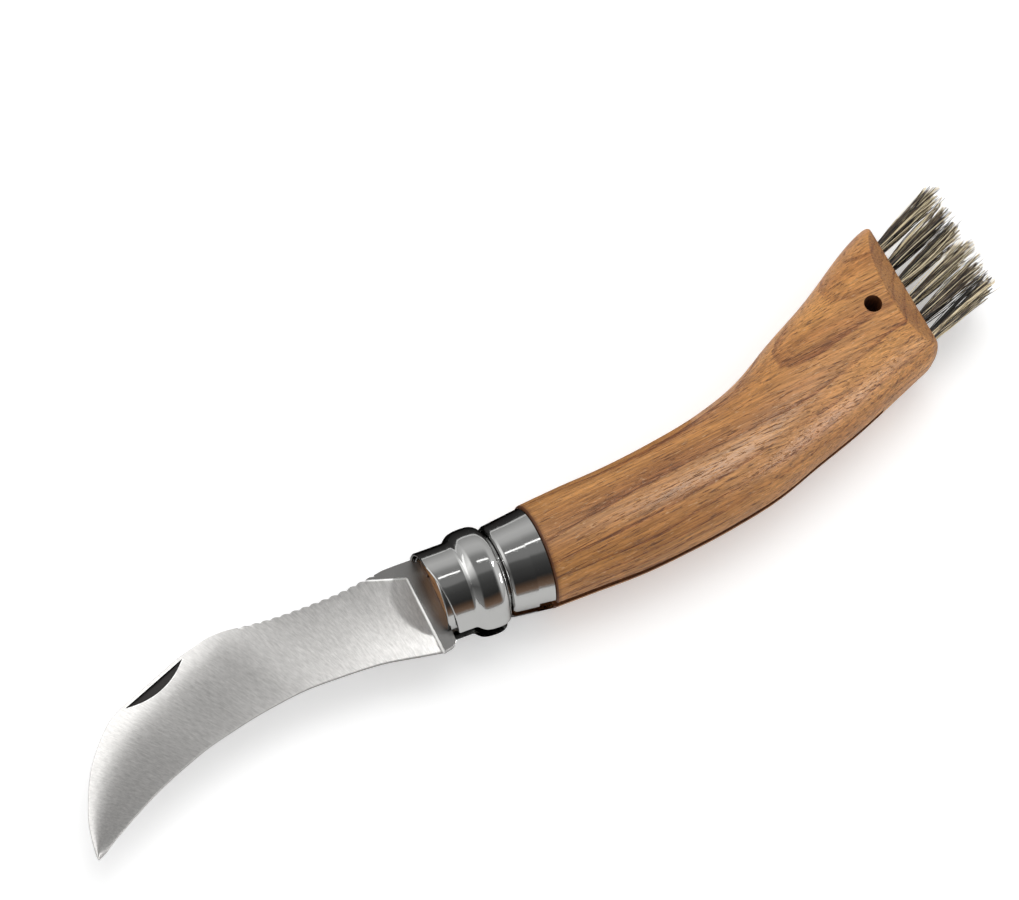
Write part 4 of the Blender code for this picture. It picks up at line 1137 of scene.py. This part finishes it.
class KNIFE_OT_blade(Operator):
    """Hooked blade with serrated spine, nail nick and ground edge"""

    bl_idname = "knife.blade"
    bl_label = "Blade"

    def execute(self, context):
        sizes, satin, struck = context.scene.knife_sizes, material("Satin steel"), material("Struck steel")
        points, faces, fields = blade_shape(sizes)
        mesh = make_mesh("steel_blade", points, faces, fields=fields)
        # the rungs meet at the tang's rear and at the tip
        mesh = modified(mesh, "WELD", merge_threshold=weld_distance)
        bore = rod(pin_radius + fit_gap, -sizes.blade_thickness, sizes.blade_thickness, centre=pivot)
        mesh = cut(mesh, bore, satin, satin)
        mesh = cut(mesh, nick_cutter(sizes, points[: len(points) // 2]), satin, struck)
        corners = np.empty(len(mesh.loops), np.int32)
        mesh.loops.foreach_get("vertex_index", corners)
        where = np.empty((2, len(mesh.vertices)), np.float32)
        for values, name in zip(where, ("along", "across")):
            mesh.attributes[name].data.foreach_get("value", values)
            mesh.attributes.remove(mesh.attributes[name])
        mesh.uv_layers.new(name="Grind").data.foreach_set("uv", where.T[corners].ravel())
        make_piece("steel_blade", mesh, satin, "blade", "brushed_steel", "blade")
        return {"FINISHED"}


class KNIFE_OT_brush(Operator):
    """Twelve tufts of mixed bristles in two rows"""

    bl_idname = "knife.brush"
    bl_label = "Brush"

    def execute(self, context):
        sizes = context.scene.knife_sizes
        chance = np.random.default_rng(31)
        for name, turn, row_lean in tuft_places(sizes):
            points, faces, fields = tuft_shape(sizes, turn, row_lean, chance)
            mesh = make_mesh("bristles_" + name, points, faces, 60.0, fields)
            make_piece("bristles_" + name, mesh, material("Hair"), "grip", "hair", "tuft_" + name)
        return {"FINISHED"}


class KNIFE_OT_fixings(Operator):
    """Pivot pin and the staples that hold the tufts"""

    bl_idname = "knife.fixings"
    bl_label = "Fixings"

    def execute(self, context):
        dress_node("pivot_pin", material("Bright steel"))
        for name, _, _ in tuft_places(context.scene.knife_sizes):
            dress_node("anchor_" + name, material("Wire"))
        return {"FINISHED"}


class KNIFE_OT_stage(Operator):
    """Pale floor, plain soft light and the camera"""

    bl_idname = "knife.stage"
    bl_label = "Stage"

    def execute(self, context):
        scene, stage = context.scene, context.scene.knife_stage
        scene.view_settings.view_transform = "Standard"
        self.floor(stage)
        self.surroundings(scene, stage)
        self.lamps(stage)
        self.cards(stage)
        camera = bpy.data.cameras.new("camera")
        camera.sensor_fit, camera.sensor_width, camera.lens = "HORIZONTAL", 36, camera_lens
        camera.clip_start, camera.clip_end = 0.05, 20
        turn = Matrix((camera_right, camera_up, camera_right.cross(camera_up).normalized())).transposed()
        scene.camera = linked("camera", camera)
        scene.camera.matrix_world = Matrix.Translation(camera_place) @ turn.to_4x4()
        return {"FINISHED"}

    def floor(self, stage, reach=2.5):
        plain = Finish("Floor", stage.floor, 0.9)
        path = plain.add("LightPath").outputs
        camera, transmission = (Value(plain, path[ray]) for ray in ("Is Camera Ray", "Is Transmission Ray"))
        lift = plain.math("MAXIMUM", camera, transmission) * stage.lift
        plain.feed({"Specular IOR Level": 0.1, "Emission Color": (1, 1, 1), "Emission Strength": lift})
        mesh = bpy.data.meshes.new("floor")
        corners = [(-reach, -reach, 0), (reach, -reach, 0), (reach, reach, 0), (-reach, reach, 0)]
        mesh.from_pydata(corners, [], [(0, 1, 2, 3)])
        mesh.materials.append(plain.made)
        floor = linked("floor", mesh)

    def surroundings(self, scene, stage):
        """White behind the object; for steel, a studio whose brightness follows the angle round X, and
        differs to the left and to the right."""
        scene.world = bpy.data.worlds.new("studio")
        scene.world.use_nodes = True
        nodes = Nodes(scene.world.node_tree)
        nodes.tree.nodes.clear()
        path = nodes.add("LightPath").outputs
        camera, glossy, transmission = (
            Value(nodes, path[f"Is {ray} Ray"]) for ray in ("Camera", "Glossy", "Transmission")
        )
        x, y, z = nodes.parts(nodes.value("TexCoord", output="Generated"))
        angle = nodes.math("ARCTAN2", z, y)
        at = nodes.math("DIVIDE", angle + math.radians(-studio_from), math.radians(studio_span))
        middle, left, right = (
            nodes.ramp(at, *(((degrees - studio_from) / studio_span, value) for degrees, value in stops))
            for stops in (studio_middle, studio_left, studio_right)
        )
        side = nodes.math("MULTIPLY_ADD", x, 0.5)
        room = nodes.blend(nodes.ramp(side, (0.28, 1.0), (0.39, 0.0)), middle, left)
        room = nodes.blend(nodes.ramp(side, (0.71, 0.0), (0.80, 1.0)), room, right)
        seen, soft, white = (
            nodes.value("Background", {"Color": light, "Strength": strength})
            for light, strength in ((room, 1.0), ((1, 1, 1), stage.fill), ((1, 1, 1), 1.0))
        )
        shine = nodes.math("MAXIMUM", glossy, transmission)
        lit = nodes.value("MixShader", {0: shine, 1: soft, 2: seen})
        nodes.add("OutputWorld", {0: nodes.value("MixShader", {0: camera, 1: lit, 2: white})})

    def lamps(self, stage):
        """A broad lamp that no gloss shows, and a small one by the collar's side that only gloss shows."""
        for name, way, reach, size, power in (
            ("soft_key", (0.20, 0.44, 0.86), 1.3, 1.0, stage.key),
            ("side_shine", (0.65, 0.06, 0.76), 0.15, 0.009, stage.side),
        ):
            lamp = bpy.data.lights.new(name, "AREA")
            lamp.size, lamp.energy = size, power
            made = linked(name, lamp)
            way = Vector(way).normalized()
            made.location = Vector(origin) + way * reach
            made.rotation_euler = way.to_track_quat("Z", "Y").to_euler()
            made.visible_glossy = name == "side_shine"
            made.visible_diffuse = not made.visible_glossy

    def cards(self, stage):
        """What gloss shows and nothing else: a dark card beside the collar for its far rim, a narrow
        bright one above it for the thin line along it, a bright one that the hook's back shows, and one
        beyond the handle's end for the sheen on its lower side. Millimetres."""
        hook = [
            (-33, 19), (-43, 13), (-58, 5), (-70, -3), (-84, -15), (-96, -24), (-125, -5), (-110, 30),
            (-70, 50), (-33, 45),
        ]
        for name, outline, low, high, glow in (
            ("dark_card", [(-30, 14), (60, 14), (60, 80), (-30, 80)], -9.5, 0, 0.0),
            ("bright_card", [(10, 12.2), (31, 12.2), (31, 15.2), (10, 15.2)], 50, 50.5, stage.glint),
            ("hook_card", hook, 30, 30.5, stage.hook),
            ("sheen_card", [(105, -50), (150, -70), (160, -40), (115, -20)], 50, 50.5, stage.sheen),
        ):
            mesh = make_mesh(name, *prism(np.array(outline) * mm, low * mm, high * mm))
            dark = Finish(name, (0.02, 0.018, 0.018), 0.9)
            mesh.materials.append(dark.feed({"Emission Color": (1, 1, 1), "Emission Strength": glow}))
            card = linked(name, mesh)
            card.visible_camera = card.visible_diffuse = card.visible_shadow = False


class KNIFE_PT_panel(Panel):
    """Knife tools."""

    bl_label = "Knife"
    bl_idname = "KNIFE_PT_panel"
    bl_space_type = "VIEW_3D"
    bl_region_type = "UI"
    bl_category = "Knife"

    def draw(self, context):
        for group in ("knife_sizes", "knife_colours", "knife_stage"):
            box, settings = self.layout.box(), getattr(context.scene, group)
            for name in settings.__annotations__:
                box.prop(settings, name)
        for operator in operators:
            self.layout.operator(operator.bl_idname)


operators = (
    KNIFE_OT_handle, KNIFE_OT_ferrule, KNIFE_OT_lock_ring, KNIFE_OT_blade, KNIFE_OT_brush,
    KNIFE_OT_fixings, KNIFE_OT_stage,
)
classes = (KnifeSizes, KnifeColours, KnifeStage, *operators, KNIFE_PT_panel)


def register():
    for cls in classes:
        bpy.utils.register_class(cls)
    bpy.types.Scene.knife_sizes = PointerProperty(type=KnifeSizes)
    bpy.types.Scene.knife_colours = PointerProperty(type=KnifeColours)
    bpy.types.Scene.knife_stage = PointerProperty(type=KnifeStage)


def unregister():
    del bpy.types.Scene.knife_stage, bpy.types.Scene.knife_colours, bpy.types.Scene.knife_sizes
    for cls in reversed(classes):
        bpy.utils.unregister_class(cls)


def main():
    register()
    for operator in operators:
        group, name = operator.bl_idname.split(".")
        getattr(getattr(bpy.ops, group), name)()


if __name__ == "__main__":
    main()
